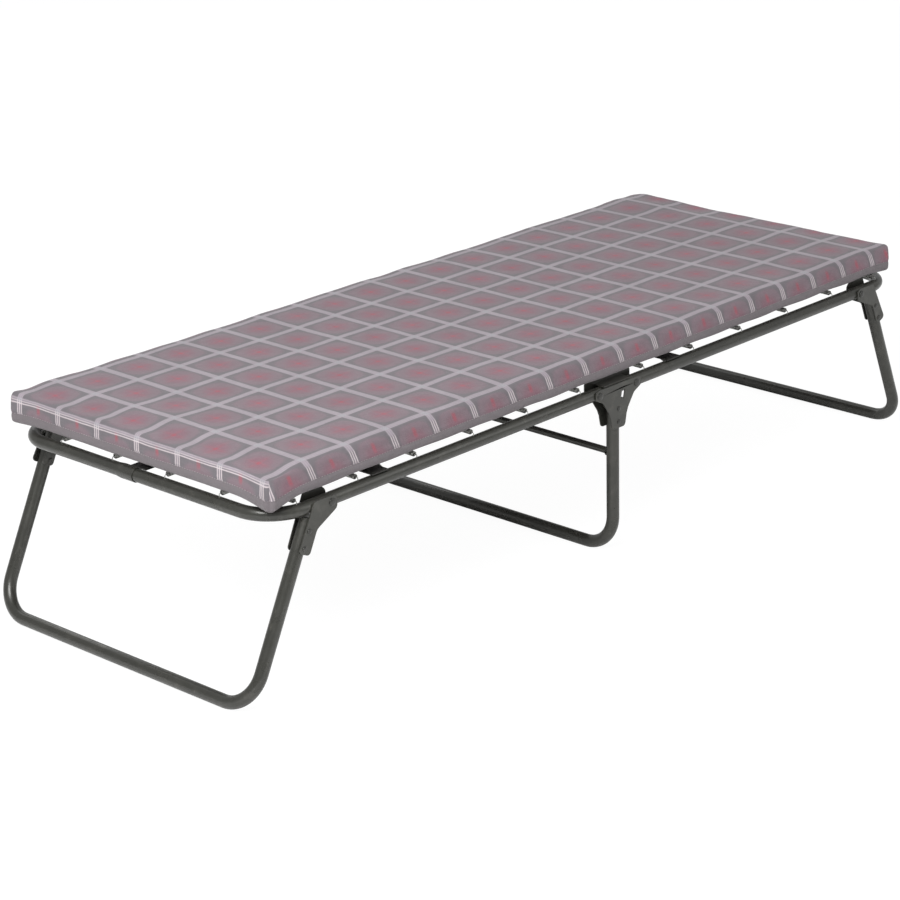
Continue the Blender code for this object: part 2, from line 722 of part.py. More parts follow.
def mattress_middle(stand):
    """The bending middle of the mattress, which belongs to neither half."""
    reach = MATTRESS_BEND - TOUCH_GAP
    item = cushion("middle_mattress", stand, reach, -reach, False)
    item.data.transform(Matrix.Translation((0.0, 0.0, RAIL_HEIGHT)))


def build_bed():
    stand, plates = build_centre_stand()
    mattress_middle(stand)
    for plan in ENDS:
        half, rails = build_half(plan, plates)
        build_end_leg(plan, half, rails)


build_bed()
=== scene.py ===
"""Looks for the folding rollaway bed: tube frame, wire deck, hinge plates and plaid foam mattress.

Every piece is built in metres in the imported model's frame: +X from head to foot, +Y across the bed
and +Z up. The mirrored ends and sides are told apart by the signs in the End and Side enums.
"""

from __future__ import annotations

import logging
import math
from collections.abc import Sequence
from dataclasses import dataclass, field
from enum import Enum

import bmesh
import bpy
import numpy as np
from mathutils import Matrix, Vector, noise

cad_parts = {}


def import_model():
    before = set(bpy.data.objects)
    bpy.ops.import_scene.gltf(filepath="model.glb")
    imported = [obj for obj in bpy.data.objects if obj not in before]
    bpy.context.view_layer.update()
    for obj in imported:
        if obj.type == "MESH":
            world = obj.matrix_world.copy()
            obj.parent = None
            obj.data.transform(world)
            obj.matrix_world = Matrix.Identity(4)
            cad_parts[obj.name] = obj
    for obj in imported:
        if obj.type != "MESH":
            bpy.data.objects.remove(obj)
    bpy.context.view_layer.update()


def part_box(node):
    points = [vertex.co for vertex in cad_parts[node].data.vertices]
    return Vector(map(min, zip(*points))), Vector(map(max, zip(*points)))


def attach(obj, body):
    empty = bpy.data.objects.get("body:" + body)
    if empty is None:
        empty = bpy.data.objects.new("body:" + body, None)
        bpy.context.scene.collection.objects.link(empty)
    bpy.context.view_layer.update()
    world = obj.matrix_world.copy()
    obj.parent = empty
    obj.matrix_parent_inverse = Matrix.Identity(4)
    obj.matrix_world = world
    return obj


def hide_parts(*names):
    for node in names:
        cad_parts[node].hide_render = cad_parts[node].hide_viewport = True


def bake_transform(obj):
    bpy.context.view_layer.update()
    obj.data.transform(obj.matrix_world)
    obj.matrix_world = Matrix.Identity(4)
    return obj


Socket = bpy.types.NodeSocket
Object = bpy.types.Object
Mesh = bpy.types.Mesh
Material = bpy.types.Material
BMesh = bmesh.types.BMesh
Colour = tuple[int, int, int]

LOG = logging.getLogger("rollaway_bed")


class End(Enum):
    """The two halves of the bed, with the sign of their X."""

    HEAD = -1
    FOOT = 1

    @property
    def word(self) -> str:
        """The half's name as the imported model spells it."""
        return self.name.lower()


class Side(Enum):
    """The two long sides of the bed, with the sign of their Y."""

    NEAR = -1
    FAR = 1

    @property
    def word(self) -> str:
        """The side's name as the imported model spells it."""
        return self.name.lower()


class Slot(Enum):
    """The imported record's material slots."""

    TUBE = "painted_tube"
    PLATE = "painted_plate"
    FASTENER = "painted_fasteners"
    WIRE = "zinc_wire"
    CLOTH = "plaid_cloth"


# ---------------------------------------------------------------------------
# Shader building
# ---------------------------------------------------------------------------
class Shader:
    """A material's node tree with short calls for the arithmetic that its pattern needs."""

    def __init__(self, name: str) -> None:
        """Make an empty Principled material.

        Args:
            name: the material's name.
        """
        self.material = bpy.data.materials.new(name)
        self.material.use_nodes = True
        self.nodes = self.material.node_tree.nodes
        self.links = self.material.node_tree.links
        self.surface = self.nodes["Principled BSDF"]

    def feed(self, socket: Socket, value: object) -> None:
        """Join a socket's source to it, or set it to a plain value.

        Args:
            socket: the input to fill.
            value: another node's output, or a number or colour.
        """
        if isinstance(value, Socket):
            self.links.new(value, socket)
        else:
            socket.default_value = value

    def math(self, operation: str, *values: object, clamp: bool = False) -> Socket:
        """A Math node.

        Args:
            operation: the node's operation.
            values: its inputs, as outputs of other nodes or numbers.
            clamp: whether the result is held between 0 and 1.

        Returns:
            The node's output.
        """
        node = self.nodes.new("ShaderNodeMath")
        node.operation = operation
        node.use_clamp = clamp
        for socket, value in zip(node.inputs, values):
            self.feed(socket, value)
        return node.outputs[0]

    def times(self, first: object, second: object, clamp: bool = False) -> Socket:
        """One value times another."""
        return self.math("MULTIPLY", first, second, clamp=clamp)

    def plus(self, first: object, second: object, clamp: bool = False) -> Socket:
        """The sum of two values."""
        return self.math("ADD", first, second, clamp=clamp)

    def minus(self, first: object, second: object) -> Socket:
        """The second value taken from the first."""
        return self.math("SUBTRACT", first, second)

    def larger(self, first: object, second: object) -> Socket:
        """The larger of two values."""
        return self.math("MAXIMUM", first, second)

    def ramp(self, value: object, low: float, high: float, start: float = 0.0, end: float = 1.0) -> Socket:
        """A smooth step of a value from low to high.

        Args:
            value: what is stepped.
            low: where the step starts.
            high: where it ends.
            start: the result before the step.
            end: the result after it.

        Returns:
            The stepped value.
        """
        node = self.nodes.new("ShaderNodeMapRange")
        node.interpolation_type = "SMOOTHSTEP"
        names = ("Value", "From Min", "From Max", "To Min", "To Max")
        for name, item in zip(names, (value, low, high, start, end)):
            self.feed(node.inputs[name], item)
        return node.outputs["Result"]

    def mix(self, share: object, first: object, second: object) -> Socket:
        """Mix two colours.

        Args:
            share: how much of the second shows.
            first: the colour at 0.
            second: the colour at 1.

        Returns:
            The mixed colour.
        """
        node = self.nodes.new("ShaderNodeMix")
        node.data_type = "RGBA"
        self.feed(node.inputs[0], share)
        self.feed(node.inputs[6], first)
        self.feed(node.inputs[7], second)
        return node.outputs[2]

    def noise(self, vector: object, scale: float, detail: float = 3.0, roughness: float = 0.55) -> Socket:
        """A noise texture's value.

        Args:
            vector: the coordinates it is read at.
            scale: its scale.
            detail: its number of octaves.
            roughness: how strong the finer octaves are.

        Returns:
            The noise, from 0 to 1.
        """
        node = self.nodes.new("ShaderNodeTexNoise")
        self.feed(node.inputs["Vector"], vector)
        node.inputs["Scale"].default_value = scale
        node.inputs["Detail"].default_value = detail
        node.inputs["Roughness"].default_value = roughness
        return node.outputs["Fac"]

    def place(self) -> Socket:
        """The shaded point's place in its object, in metres."""
        return self.nodes.new("ShaderNodeTexCoord").outputs["Object"]

    def stretched(self, vector: object, scale: Sequence[float]) -> Socket:
        """A vector scaled along each axis.

        Args:
            vector: what is scaled.
            scale: the factor for each axis.

        Returns:
            The scaled vector.
        """
        node = self.nodes.new("ShaderNodeMapping")
        self.feed(node.inputs["Vector"], vector)
        node.inputs["Scale"].default_value = scale
        return node.outputs["Vector"]

    def uv(self, layer: str) -> tuple[Socket, Socket, Socket]:
        """A UV map's vector and its two coordinates.

        Args:
            layer: the UV map's name.

        Returns:
            The vector, U and V.
        """
        node = self.nodes.new("ShaderNodeUVMap")
        node.uv_map = layer
        split = self.nodes.new("ShaderNodeSeparateXYZ")
        self.feed(split.inputs[0], node.outputs[0])
        return node.outputs[0], split.outputs[0], split.outputs[1]

    def bump(self, height: object, strength: float, distance: float, before: object = None) -> Socket:
        """A bump from a height, on top of an earlier one.

        Args:
            height: the height.
            strength: how much of it shows.
            distance: the height of 1, in metres.
            before: the earlier normal, if there is one.

        Returns:
            The bumped normal.
        """
        node = self.nodes.new("ShaderNodeBump")
        node.inputs["Strength"].default_value = strength
        node.inputs["Distance"].default_value = distance
        self.feed(node.inputs["Height"], height)
        if before is not None:
            self.feed(node.inputs["Normal"], before)
        return node.outputs["Normal"]

    def set(self, **inputs: object) -> None:
        """Fill the surface shader's inputs, spaces in their names written as underscores."""
        for name, value in inputs.items():
            self.feed(self.surface.inputs[name.replace("_", " ")], value)


def from_display(red: int, green: int, blue: int) -> tuple[float, float, float, float]:
    """A display colour of 0 to 255 a channel as the linear colour that shaders take.

    Args:
        red: red.
        green: green.
        blue: blue.

    Returns:
        The linear colour with an alpha of 1.
    """
    linear = [((c / 255 + 0.055) / 1.055) ** 2.4 if c > 10 else c / 3294.6 for c in (red, green, blue)]
    return (*linear, 1.0)


# ---------------------------------------------------------------------------
# Finishes
# ---------------------------------------------------------------------------
@dataclass(frozen=True)
class PaintedSteel:
    """Dark olive-grey satin enamel on steel, with a faint orange peel, rubs and dust."""

    name: str
    colour: Colour = (58, 58, 53)
    rubbed: Colour = (92, 90, 84)
    roughness: float = 0.30
    peel: float = 0.00006

    def make(self) -> Material:
        """Build the material."""
        shader = Shader(self.name)
        here = shader.place()
        cloud = shader.noise(here, 9.0, 4.0)
        dust = shader.ramp(shader.noise(here, 38.0, 5.0, 0.65), 0.50, 0.75, 0.0, 0.35)
        streak = shader.stretched(here, (1.0, 1.0, 0.35))
        rub = shader.ramp(shader.noise(streak, 120.0, 3.0, 0.7), 0.66, 0.72)
        deep = tuple(0.80 * c for c in from_display(*self.colour)[:3]) + (1.0,)
        coat = shader.mix(shader.ramp(cloud, 0.3, 0.7), deep, from_display(*self.colour))
        coat = shader.mix(dust, coat, from_display(*self.rubbed))
        coat = shader.mix(shader.times(rub, 0.45), coat, from_display(*self.rubbed))
        dull, matt = self.roughness - 0.05, self.roughness + 0.07
        gloss = shader.ramp(shader.noise(here, 24.0, 3.0), 0.3, 0.7, dull, matt)
        normal = shader.bump(shader.noise(here, 520.0, 2.0), 0.5, self.peel)
        shader.set(Base_Color=coat, Roughness=gloss, Normal=normal, Metallic=0.30)
        shader.set(Specular_IOR_Level=0.62, Coat_Weight=0.30, Coat_Roughness=0.20)
        return shader.material


@dataclass(frozen=True)
class ZincWire:
    """Bright zinc-plated spring wire with dull spangle and drawing marks."""

    name: str = "zinc_wire_finish"
    bright: Colour = (196, 196, 192)
    dull: Colour = (128, 128, 124)
    roughness: float = 0.30

    def make(self) -> Material:
        """Build the material."""
        shader = Shader(self.name)
        here = shader.place()
        spangle = shader.ramp(shader.noise(here, 160.0, 4.0, 0.7), 0.35, 0.65)
        colour = shader.mix(spangle, from_display(*self.dull), from_display(*self.bright))
        gloss = shader.ramp(spangle, 0.0, 1.0, self.roughness + 0.18, self.roughness)
        normal = shader.bump(shader.noise(here, 900.0, 2.0), 0.4, 0.00004)
        shader.set(Base_Color=colour, Roughness=gloss, Normal=normal, Metallic=0.92)
        return shader.material


@dataclass(frozen=True)
class PlaidTicking:
    """Woven plaid mattress cloth, plain below its side seam.

    The UV map "cloth" is the cloth's own place in metres, and "panel" holds the way down from the top
    edge as its V. Light bands of three threads cross, with soft red stripes halfway between them.
    """

    name: str = "plaid_ticking"
    first_band: tuple[float, float] = (0.0095, -0.0059)
    pitch: tuple[float, float] = (0.0991, 0.1047)
    band_half: float = 0.0066
    thread_step: float = 0.0050
    thread_half: float = 0.0010
    stripe_half: float = 0.0043
    seam_drop: float = 0.034
    seam_edge: float = 0.0006
    sway: float = 0.0035
    slub: tuple[float, float] = (900.0, 60.0)
    ground: Colour = (124, 109, 116)
    cool_ground: Colour = (110, 106, 110)
    warm_ground: Colour = (130, 100, 110)
    band: Colour = (156, 147, 155)
    crossing: Colour = (152, 154, 160)
    thread: Colour = (218, 206, 208)
    red: Colour = (170, 72, 84)
    plain: Colour = (114, 108, 111)
    weave: float = 0.0009

    def from_line(self, shader: Shader, place: object, origin: float, pitch: float) -> Socket:
        """The distance in metres from the nearest of a set of evenly spaced lines.

        Args:
            shader: the material being built.
            place: the coordinate across the lines.
            origin: where one line lies.
            pitch: the spacing.

        Returns:
            The distance.
        """
        turns = shader.math("DIVIDE", shader.minus(place, origin - pitch / 2), pitch)
        off = shader.minus(shader.math("FRACT", turns), 0.5)
        return shader.times(shader.math("ABSOLUTE", off), pitch)

    def threads(self, shader: Shader, distance: object) -> Socket:
        """Three fine threads in a band: one on its middle and one to each side.

        Args:
            shader: the material being built.
            distance: the distance from the band's middle.

        Returns:
            1 on a thread and 0 off it.
        """
        outer = shader.math("ABSOLUTE", shader.minus(distance, self.thread_step))
        nearest = shader.math("MINIMUM", distance, outer)
        return shader.ramp(nearest, 0.4 * self.thread_half, 1.5 * self.thread_half, 1.0, 0.0)

    def make(self) -> Material:
        """Build the material."""
        shader = Shader(self.name)
        cloth, across, along = shader.uv("cloth")
        drop = shader.uv("panel")[2]
        side = shader.ramp(drop, 0.003, 0.012)
        sway = shader.times(shader.minus(shader.noise(cloth, 14.0, 2.0), 0.5), self.sway)
        places = (shader.plus(across, sway), shader.plus(along, sway))
        lines = [self.from_line(shader, *item) for item in zip(places, self.first_band, self.pitch)]
        halfway = [shader.minus(pitch / 2, line) for pitch, line in zip(self.pitch, lines)]
        yarn = self.yarn(shader, cloth)
        colour = self.stripes(shader, cloth, drop, side, halfway)
        colour = self.bands(shader, side, lines, colour)
        edge = self.seam_edge
        below = shader.ramp(drop, self.seam_drop - edge, self.seam_drop + edge)
        colour = shader.mix(below, colour, from_display(*self.plain))
        shade = shader.nodes.new("ShaderNodeHueSaturation")
        faded = shader.ramp(shader.noise(cloth, 11.0, 3.0), 0.3, 0.7, 0.955, 1.03)
        shader.feed(shade.inputs["Color"], colour)
        shader.feed(shade.inputs["Value"], shader.plus(faded, shader.times(yarn, 0.11)))
        rough = shader.ramp(yarn, -0.5, 0.5, 0.86, 0.96)
        normal = self.relief(shader, cloth, (across, along), yarn)
        shader.set(Base_Color=shade.outputs[0], Roughness=rough, Normal=normal)
        shader.set(Sheen_Weight=0.22, Sheen_Roughness=0.45, Specular_IOR_Level=0.22)
        return shader.material

    def yarn(self, shader: Shader, cloth: Socket) -> Socket:
        """The slubs of warp and weft.

        Args:
            shader: the material being built.
            cloth: the place on the cloth.

        Returns:
            A value from -1 to 1.
        """
        fine, coarse = self.slub
        ways = ((coarse, fine, 1.0), (fine, coarse, 1.0))
        slubs = [shader.noise(shader.stretched(cloth, way), 1.0, 2.0) for way in ways]
        return shader.plus(*[shader.ramp(slub, 0.3, 0.7, -0.5, 0.5) for slub in slubs])

    def stripes(
        self, shader: Shader, cloth: Socket, drop: Socket, side: Socket, halfway: Sequence[Socket]
    ) -> Socket:
        """The ground with its warm cells and the ragged red stripes through their middles.

        Args:
            shader: the material being built.
            cloth: the place on the cloth.
            drop: the way down from the top edge.
            side: 1 on the side panels and 0 on top.
            halfway: the distance from the middle line between two bands, for both directions.

        Returns:
            The colour.
        """
        half = self.stripe_half
        arms = [shader.ramp(d, 0.25 * half, 1.6 * half, 1.0, 0.0) for d in halfway]
        reach = [shader.ramp(d, 0.004, 0.046, 1.0, 0.0) for d in halfway]
        corner = shader.times(*reach)
        cool, even = from_display(*self.cool_ground), from_display(*self.ground)
        colour = shader.mix(shader.ramp(corner, 0.0, 0.16), cool, even)
        colour = shader.mix(shader.ramp(corner, 0.25, 0.95), colour, from_display(*self.warm_ground))
        share = shader.plus(0.16, shader.times(side, 0.46))
        spread = shader.larger(shader.times(arms[0], reach[1]), shader.times(arms[1], reach[0]))
        on_side = shader.larger(*[shader.times(arm, shader.times(side, 0.55)) for arm in arms])
        arm = shader.larger(shader.times(spread, share, clamp=True), on_side)
        heart = shader.times(shader.times(*arms), 0.46)
        torn = shader.noise(shader.stretched(cloth, (90.0, 260.0, 1.0)), 1.0, 3.0)
        fading = shader.ramp(drop, 0.020, 0.031, 1.0, 0.0)
        ragged = shader.times(shader.ramp(torn, 0.25, 0.6, 0.45, 1.0), fading)
        red = shader.times(shader.plus(arm, heart, clamp=True), ragged)
        return shader.mix(red, colour, from_display(*self.red))

    def bands(self, shader: Shader, side: Socket, lines: Sequence[Socket], colour: Socket) -> Socket:
        """The light bands and their threads over a colour.

        Args:
            shader: the material being built.
            side: 1 on the side panels and 0 on top.
            lines: the distance from a band's middle, for both directions.
            colour: what they lie over.

        Returns:
            The colour.
        """
        half = self.band_half
        bands = [shader.ramp(d, half - 0.0022, half + 0.0018, 1.0, 0.0) for d in lines]
        threads = shader.larger(*[self.threads(shader, d) for d in lines])
        band = shader.times(shader.larger(*bands), shader.minus(0.86, shader.times(side, 0.45)))
        colour = shader.mix(band, colour, from_display(*self.band))
        both = shader.times(shader.times(*bands), 0.5)
        colour = shader.mix(both, colour, from_display(*self.crossing))
        bright = shader.plus(0.12, shader.times(side, 0.62))
        return shader.mix(shader.times(threads, bright), colour, from_display(*self.thread))

    def relief(self, shader: Shader, cloth: Socket, places: Sequence[Socket], yarn: Socket) -> Socket:
        """The normal of creased plain-woven cloth.

        Args:
            shader: the material being built.
            cloth: the place on the cloth.
            places: its two coordinates.
            yarn: the slubs.

        Returns:
            The normal.
        """
        wave = 2 * math.pi / self.weave
        weave = shader.times(*[shader.math("SINE", shader.times(place, wave)) for place in places])
        creases = shader.noise(shader.stretched(cloth, (16.0, 16.0, 1.0)), 1.0, 4.0, 0.6)
        normal = shader.bump(creases, 0.55, 0.004)
        return shader.bump(shader.plus(shader.times(weave, 0.5), yarn), 0.35, 0.00022, normal)


@dataclass(frozen=True)
class SewingThread:
    """Twisted polyester sewing thread."""

    name: str = "sewing_thread"
    colour: Colour = (176, 166, 168)
    shadow: Colour = (120, 110, 114)

    def make(self) -> Material:
        """Build the material."""
        shader = Shader(self.name)
        here = shader.place()
        twist = shader.noise(shader.stretched(here, (900.0, 900.0, 2400.0)), 1.0, 2.0)
        shadow, lit = from_display(*self.shadow), from_display(*self.colour)
        colour = shader.mix(shader.ramp(twist, 0.35, 0.65), shadow, lit)
        normal = shader.bump(twist, 0.6, 0.0001)
        shader.set(Base_Color=colour, Roughness=0.75, Normal=normal, Sheen_Weight=0.2)
        return shader.material


@dataclass(frozen=True)
class StudioFloor:
    """A pale matt sweep with the slightest mottle."""

    name: str = "studio_floor"
    burnt: float = 0.88

    def make(self) -> Material:
        """Build the material."""
        shader = Shader(self.name)
        mottle = shader.noise(shader.place(), 1.4, 3.0)
        colour = shader.mix(shader.ramp(mottle, 0.2, 0.8), (0.90, 0.90, 0.90, 1.0), (0.93, 0.93, 0.93, 1.0))
        shader.set(Base_Color=colour, Roughness=0.85, Specular_IOR_Level=0.2)
        self.overexpose(shader)
        return shader.material

    def overexpose(self, shader: Shader) -> None:
        """Burn the sweep out to white for the camera alone, so that only the deepest shadow shows.

        Args:
            shader: the material being built.
        """
        tree = shader.material.node_tree
        glow = tree.nodes.new("ShaderNodeEmission")
        glow.inputs["Color"].default_value = (1.0, 1.0, 1.0, 1.0)
        glow.inputs["Strength"].default_value = 1.08
        seen = tree.nodes.new("ShaderNodeLightPath")
        mix = tree.nodes.new("ShaderNodeMixShader")
        share = shader.times(seen.outputs["Is Camera Ray"], self.burnt)
        output = next(node for node in tree.nodes if node.type == "OUTPUT_MATERIAL")
        surface = output.inputs["Surface"].links[0].from_socket
        shader.feed(mix.inputs[0], share)
        tree.links.new(surface, mix.inputs[1])
        tree.links.new(glow.outputs[0], mix.inputs[2])
        tree.links.new(mix.outputs[0], output.inputs["Surface"])


class Finishes:
    """Every finish, built once and handed to the pieces."""

    def __init__(self) -> None:
        """Build the materials."""
        self.tube = PaintedSteel("tube_enamel").make()
        self.plate = PaintedSteel("plate_enamel", (62, 62, 57), (96, 94, 87), 0.38, 0.00010).make()
        self.fastener = PaintedSteel("fastener_enamel", (50, 50, 47), (104, 102, 96), 0.32, 0.00005).make()
        self.strap = PaintedSteel("strap_enamel", (50, 50, 47), (78, 76, 71), 0.44, 0.00008).make()
        self.wire = ZincWire().make()
        self.cloth = PlaidTicking().make()
        self.thread = SewingThread().make()
        self.floor = StudioFloor().make()


# ---------------------------------------------------------------------------
# Geometry Nodes building
# ---------------------------------------------------------------------------
class NodeRecipe:
    """A Geometry Nodes tree with named inputs, which is run on a mesh and leaves a plain mesh."""

    def __init__(self, name: str, inputs: dict[str, str]) -> None:
        """Make the tree with its group inputs.

        Args:
            name: the tree's name.
            inputs: each input's name and its kind: Float, Int, Object, Vector or Material.
        """
        self.tree = bpy.data.node_groups.new(name, "GeometryNodeTree")
        face = self.tree.interface
        face.new_socket("Geometry", in_out="INPUT", socket_type="NodeSocketGeometry")
        for label, kind in inputs.items():
            face.new_socket(label, in_out="INPUT", socket_type="NodeSocket" + kind)
        face.new_socket("Geometry", in_out="OUTPUT", socket_type="NodeSocketGeometry")
        self.source = self.tree.nodes.new("NodeGroupInput").outputs
        self.result = self.tree.nodes.new("NodeGroupOutput").inputs["Geometry"]

    def node(self, kind: str, inputs: dict[object, object], **settings: object) -> bpy.types.Node:
        """Add a node.

        Args:
            kind: the node's type.
            inputs: its inputs by name or number, as outputs of other nodes or plain values.
            settings: its properties.

        Returns:
            The node.
        """
        item = self.tree.nodes.new(kind)
        for key, value in settings.items():
            setattr(item, key, value)
        for key, value in inputs.items():
            if isinstance(value, Socket):
                self.tree.links.new(value, item.inputs[key])
            else:
                item.inputs[key].default_value = value
        return item

    def close(self, geometry: Socket) -> None:
        """End the tree: realize the instances, give them the finish and hand them out.

        Args:
            geometry: what the tree has built.
        """
        real = self.node("GeometryNodeRealizeInstances", {0: geometry})
        smooth = self.node("GeometryNodeSetShadeSmooth", {0: real.outputs[0]})
        finish = {0: smooth.outputs[0], "Material": self.source["Finish"]}
        dressed = self.node("GeometryNodeSetMaterial", finish)
        self.tree.links.new(dressed.outputs[0], self.result)

    def run(self, name: str, base: Mesh, **values: object) -> Object:
        """Run the tree on a mesh.

        Args:
            name: the finished object's name.
            base: the mesh that the tree starts from.
            values: the named inputs, spaces written as underscores.

        Returns:
            An object with a plain mesh.
        """
        item = bpy.data.objects.new(name, base)
        bpy.context.scene.collection.objects.link(item)
        modifier = item.modifiers.new("recipe", "NODES")
        modifier.node_group = self.tree
        for socket in self.tree.interface.items_tree:
            key = socket.name.replace(" ", "_")
            if socket.in_out == "INPUT" and key in values:
                modifier[socket.identifier] = values[key]
        return baked(item)


def baked(item: Object) -> Object:
    """Turn an object's modifiers into a plain mesh.

    Args:
        item: the object, at the origin.

    Returns:
        The same object with no modifiers.
    """
    bpy.context.view_layer.update()
    graph = bpy.context.evaluated_depsgraph_get()
    shown = item.evaluated_get(graph)
    mesh = bpy.data.meshes.new_from_object(shown, preserve_all_data_layers=True, depsgraph=graph)
    item.modifiers.clear()
    item.data = mesh
    mesh.name = item.name
    return item


def line_mesh(name: str, lines: Sequence[Sequence[Vector]], closed: bool = False) -> Mesh:
    """A mesh of bare edges along several lines of points.

    Args:
        name: the mesh's name.
        lines: the points of each line.
        closed: whether each line ends where it starts.

    Returns:
        The mesh.
    """
    points: list[Vector] = []
    edges: list[tuple[int, int]] = []
    for line in lines:
        first = len(points)
        points.extend(line)
        edges.extend((first + i, first + i + 1) for i in range(len(line) - 1))
        if closed:
            edges.append((len(points) - 1, first))
    mesh = bpy.data.meshes.new(name)
    mesh.from_pydata([tuple(p) for p in points], edges, [])
    return mesh


class Recipes:
    """The Geometry Nodes trees that the repeated hardware and the bent wires share."""

    axis_radius = 0.000001
    merge_reach = 0.00002

    def __init__(self) -> None:
        """Build the trees."""
        self.wire = self.bent_wire()
        self.turned = self.turned_pins()
        self.springs = self.deck_springs()
        self.stitches = self.stitch_row()

    @staticmethod
    def round_wire(recipe: NodeRecipe, line: Socket) -> Socket:
        """Round wire along every edge line of a mesh, with the recipe's radius and facets.

        Args:
            recipe: the tree that it is added to.
            line: the mesh.

        Returns:
            The wire.
        """
        path = recipe.node("GeometryNodeMeshToCurve", {0: line})
        size = {"Resolution": recipe.source["Facets"], "Radius": recipe.source["Radius"]}
        ring = recipe.node("GeometryNodeCurvePrimitiveCircle", size)
        swept = {0: path.outputs[0], 1: ring.outputs[0], "Fill Caps": True}
        return recipe.node("GeometryNodeCurveToMesh", swept).outputs[0]

    @staticmethod
    def on_vertices(recipe: NodeRecipe, shape: Socket, rotation: object) -> Socket:
        """A shape set on every vertex of the recipe's base mesh.

        Args:
            recipe: the tree that it is added to.
            shape: what is set there.
            rotation: its turn.

        Returns:
            The shapes.
        """
        points = recipe.node("GeometryNodeMeshToPoints", {0: recipe.source["Geometry"]})
        placed = {0: points.outputs[0], "Instance": shape, "Rotation": rotation}
        return recipe.node("GeometryNodeInstanceOnPoints", placed).outputs[0]

    def bent_wire(self) -> NodeRecipe:
        """Round wire along every edge line of the base mesh."""
        recipe = NodeRecipe("bent_wire", {"Radius": "Float", "Facets": "Int", "Finish": "Material"})
        recipe.close(self.round_wire(recipe, recipe.source["Geometry"]))
        return recipe

    def turned_pins(self) -> NodeRecipe:
        """A pin turned from a profile, set on every vertex of the base mesh with its axis along Y."""
        recipe = NodeRecipe("turned_pins", {"Profile": "Object", "Facets": "Int", "Finish": "Material"})
        shape = recipe.node("GeometryNodeObjectInfo", {"Object": recipe.source["Profile"]})
        outline = recipe.node("GeometryNodeMeshToCurve", {0: shape.outputs["Geometry"]})
        axis = {"Resolution": recipe.source["Facets"], "Radius": self.axis_radius}
        ring = recipe.node("GeometryNodeCurvePrimitiveCircle", axis)
        turned = recipe.node("GeometryNodeCurveToMesh", {0: ring.outputs[0], 1: outline.outputs[0]})
        seam = {0: turned.outputs[0], "Distance": self.merge_reach}
        merged = recipe.node("GeometryNodeMergeByDistance", seam)
        recipe.close(self.on_vertices(recipe, merged.outputs[0], (math.pi / 2, 0.0, 0.0)))
        return recipe

    def deck_springs(self) -> NodeRecipe:
        """A wire shape set on every vertex of the base mesh and turned about Z by its "turn"."""
        inputs = {"Path": "Object", "Radius": "Float", "Facets": "Int", "Finish": "Material"}
        recipe = NodeRecipe("deck_springs", inputs)
        shape = recipe.node("GeometryNodeObjectInfo", {"Object": recipe.source["Path"]})
        wire = self.round_wire(recipe, shape.outputs["Geometry"])
        turn = recipe.node("GeometryNodeInputNamedAttribute", {"Name": "turn"}, data_type="FLOAT")
        euler = recipe.node("ShaderNodeCombineXYZ", {2: turn.outputs["Attribute"]})
        recipe.close(self.on_vertices(recipe, wire, euler.outputs[0]))
        return recipe

    @staticmethod
    def stitch_row() -> NodeRecipe:
        """Short thread stitches set end to end, with gaps, along the base mesh's lines."""
        inputs = {"Pitch": "Float", "Length": "Float", "Radius": "Float", "Finish": "Material"}
        recipe = NodeRecipe("stitch_row", inputs)
        path = recipe.node("GeometryNodeMeshToCurve", {0: recipe.source["Geometry"]})
        spacing = {0: path.outputs[0], "Length": recipe.source["Pitch"]}
        spots = recipe.node("GeometryNodeCurveToPoints", spacing, mode="LENGTH")
        stitch = recipe.node("GeometryNodeMeshUVSphere", {"Segments": 6, "Rings": 4, "Radius": 1.0})
        half = recipe.node("ShaderNodeMath", {0: recipe.source["Length"], 1: 0.5}, operation="MULTIPLY")
        radius = recipe.source["Radius"]
        size = recipe.node("ShaderNodeCombineXYZ", {0: radius, 1: radius, 2: half.outputs[0]})
        turn = recipe.node("FunctionNodeAlignEulerToVector", {"Vector": spots.outputs["Tangent"]}, axis="Z")
        placed = {0: spots.outputs[0], "Instance": stitch.outputs[0]}
        placed |= {"Rotation": turn.outputs[0], "Scale": size.outputs[0]}
        recipe.close(recipe.node("GeometryNodeInstanceOnPoints", placed).outputs[0])
        return recipe


# ---------------------------------------------------------------------------
# Shared shapes
# ---------------------------------------------------------------------------
def rounded_path(corners: Sequence[Vector], radius: float, step: float = math.radians(5)) -> list[Vector]:
    """Points along straight runs through corners, every inner corner rounded.

    Args:
        corners: the ends and corners of the runs.
        radius: the corners' radius.
        step: the turn from one point of a bend to the next.

    Returns:
        The points.
    """
    points = [Vector(corners[0])]
    for before, here, after in zip(corners, corners[1:], corners[2:]):
        arrive = (here - before).normalized()
        leave = (after - here).normalized()
        angle = arrive.angle(leave)
        reach = radius * math.tan(angle / 2)
        start = here - arrive * reach
        axis = arrive.cross(leave).normalized()
        spoke = -axis.cross(arrive) * radius
        centre = start - spoke
        steps = max(2, round(angle / step))
        points += [centre + Matrix.Rotation(angle * i / steps, 3, axis) @ spoke for i in range(steps + 1)]
    points.append(Vector(corners[-1]))
    return points


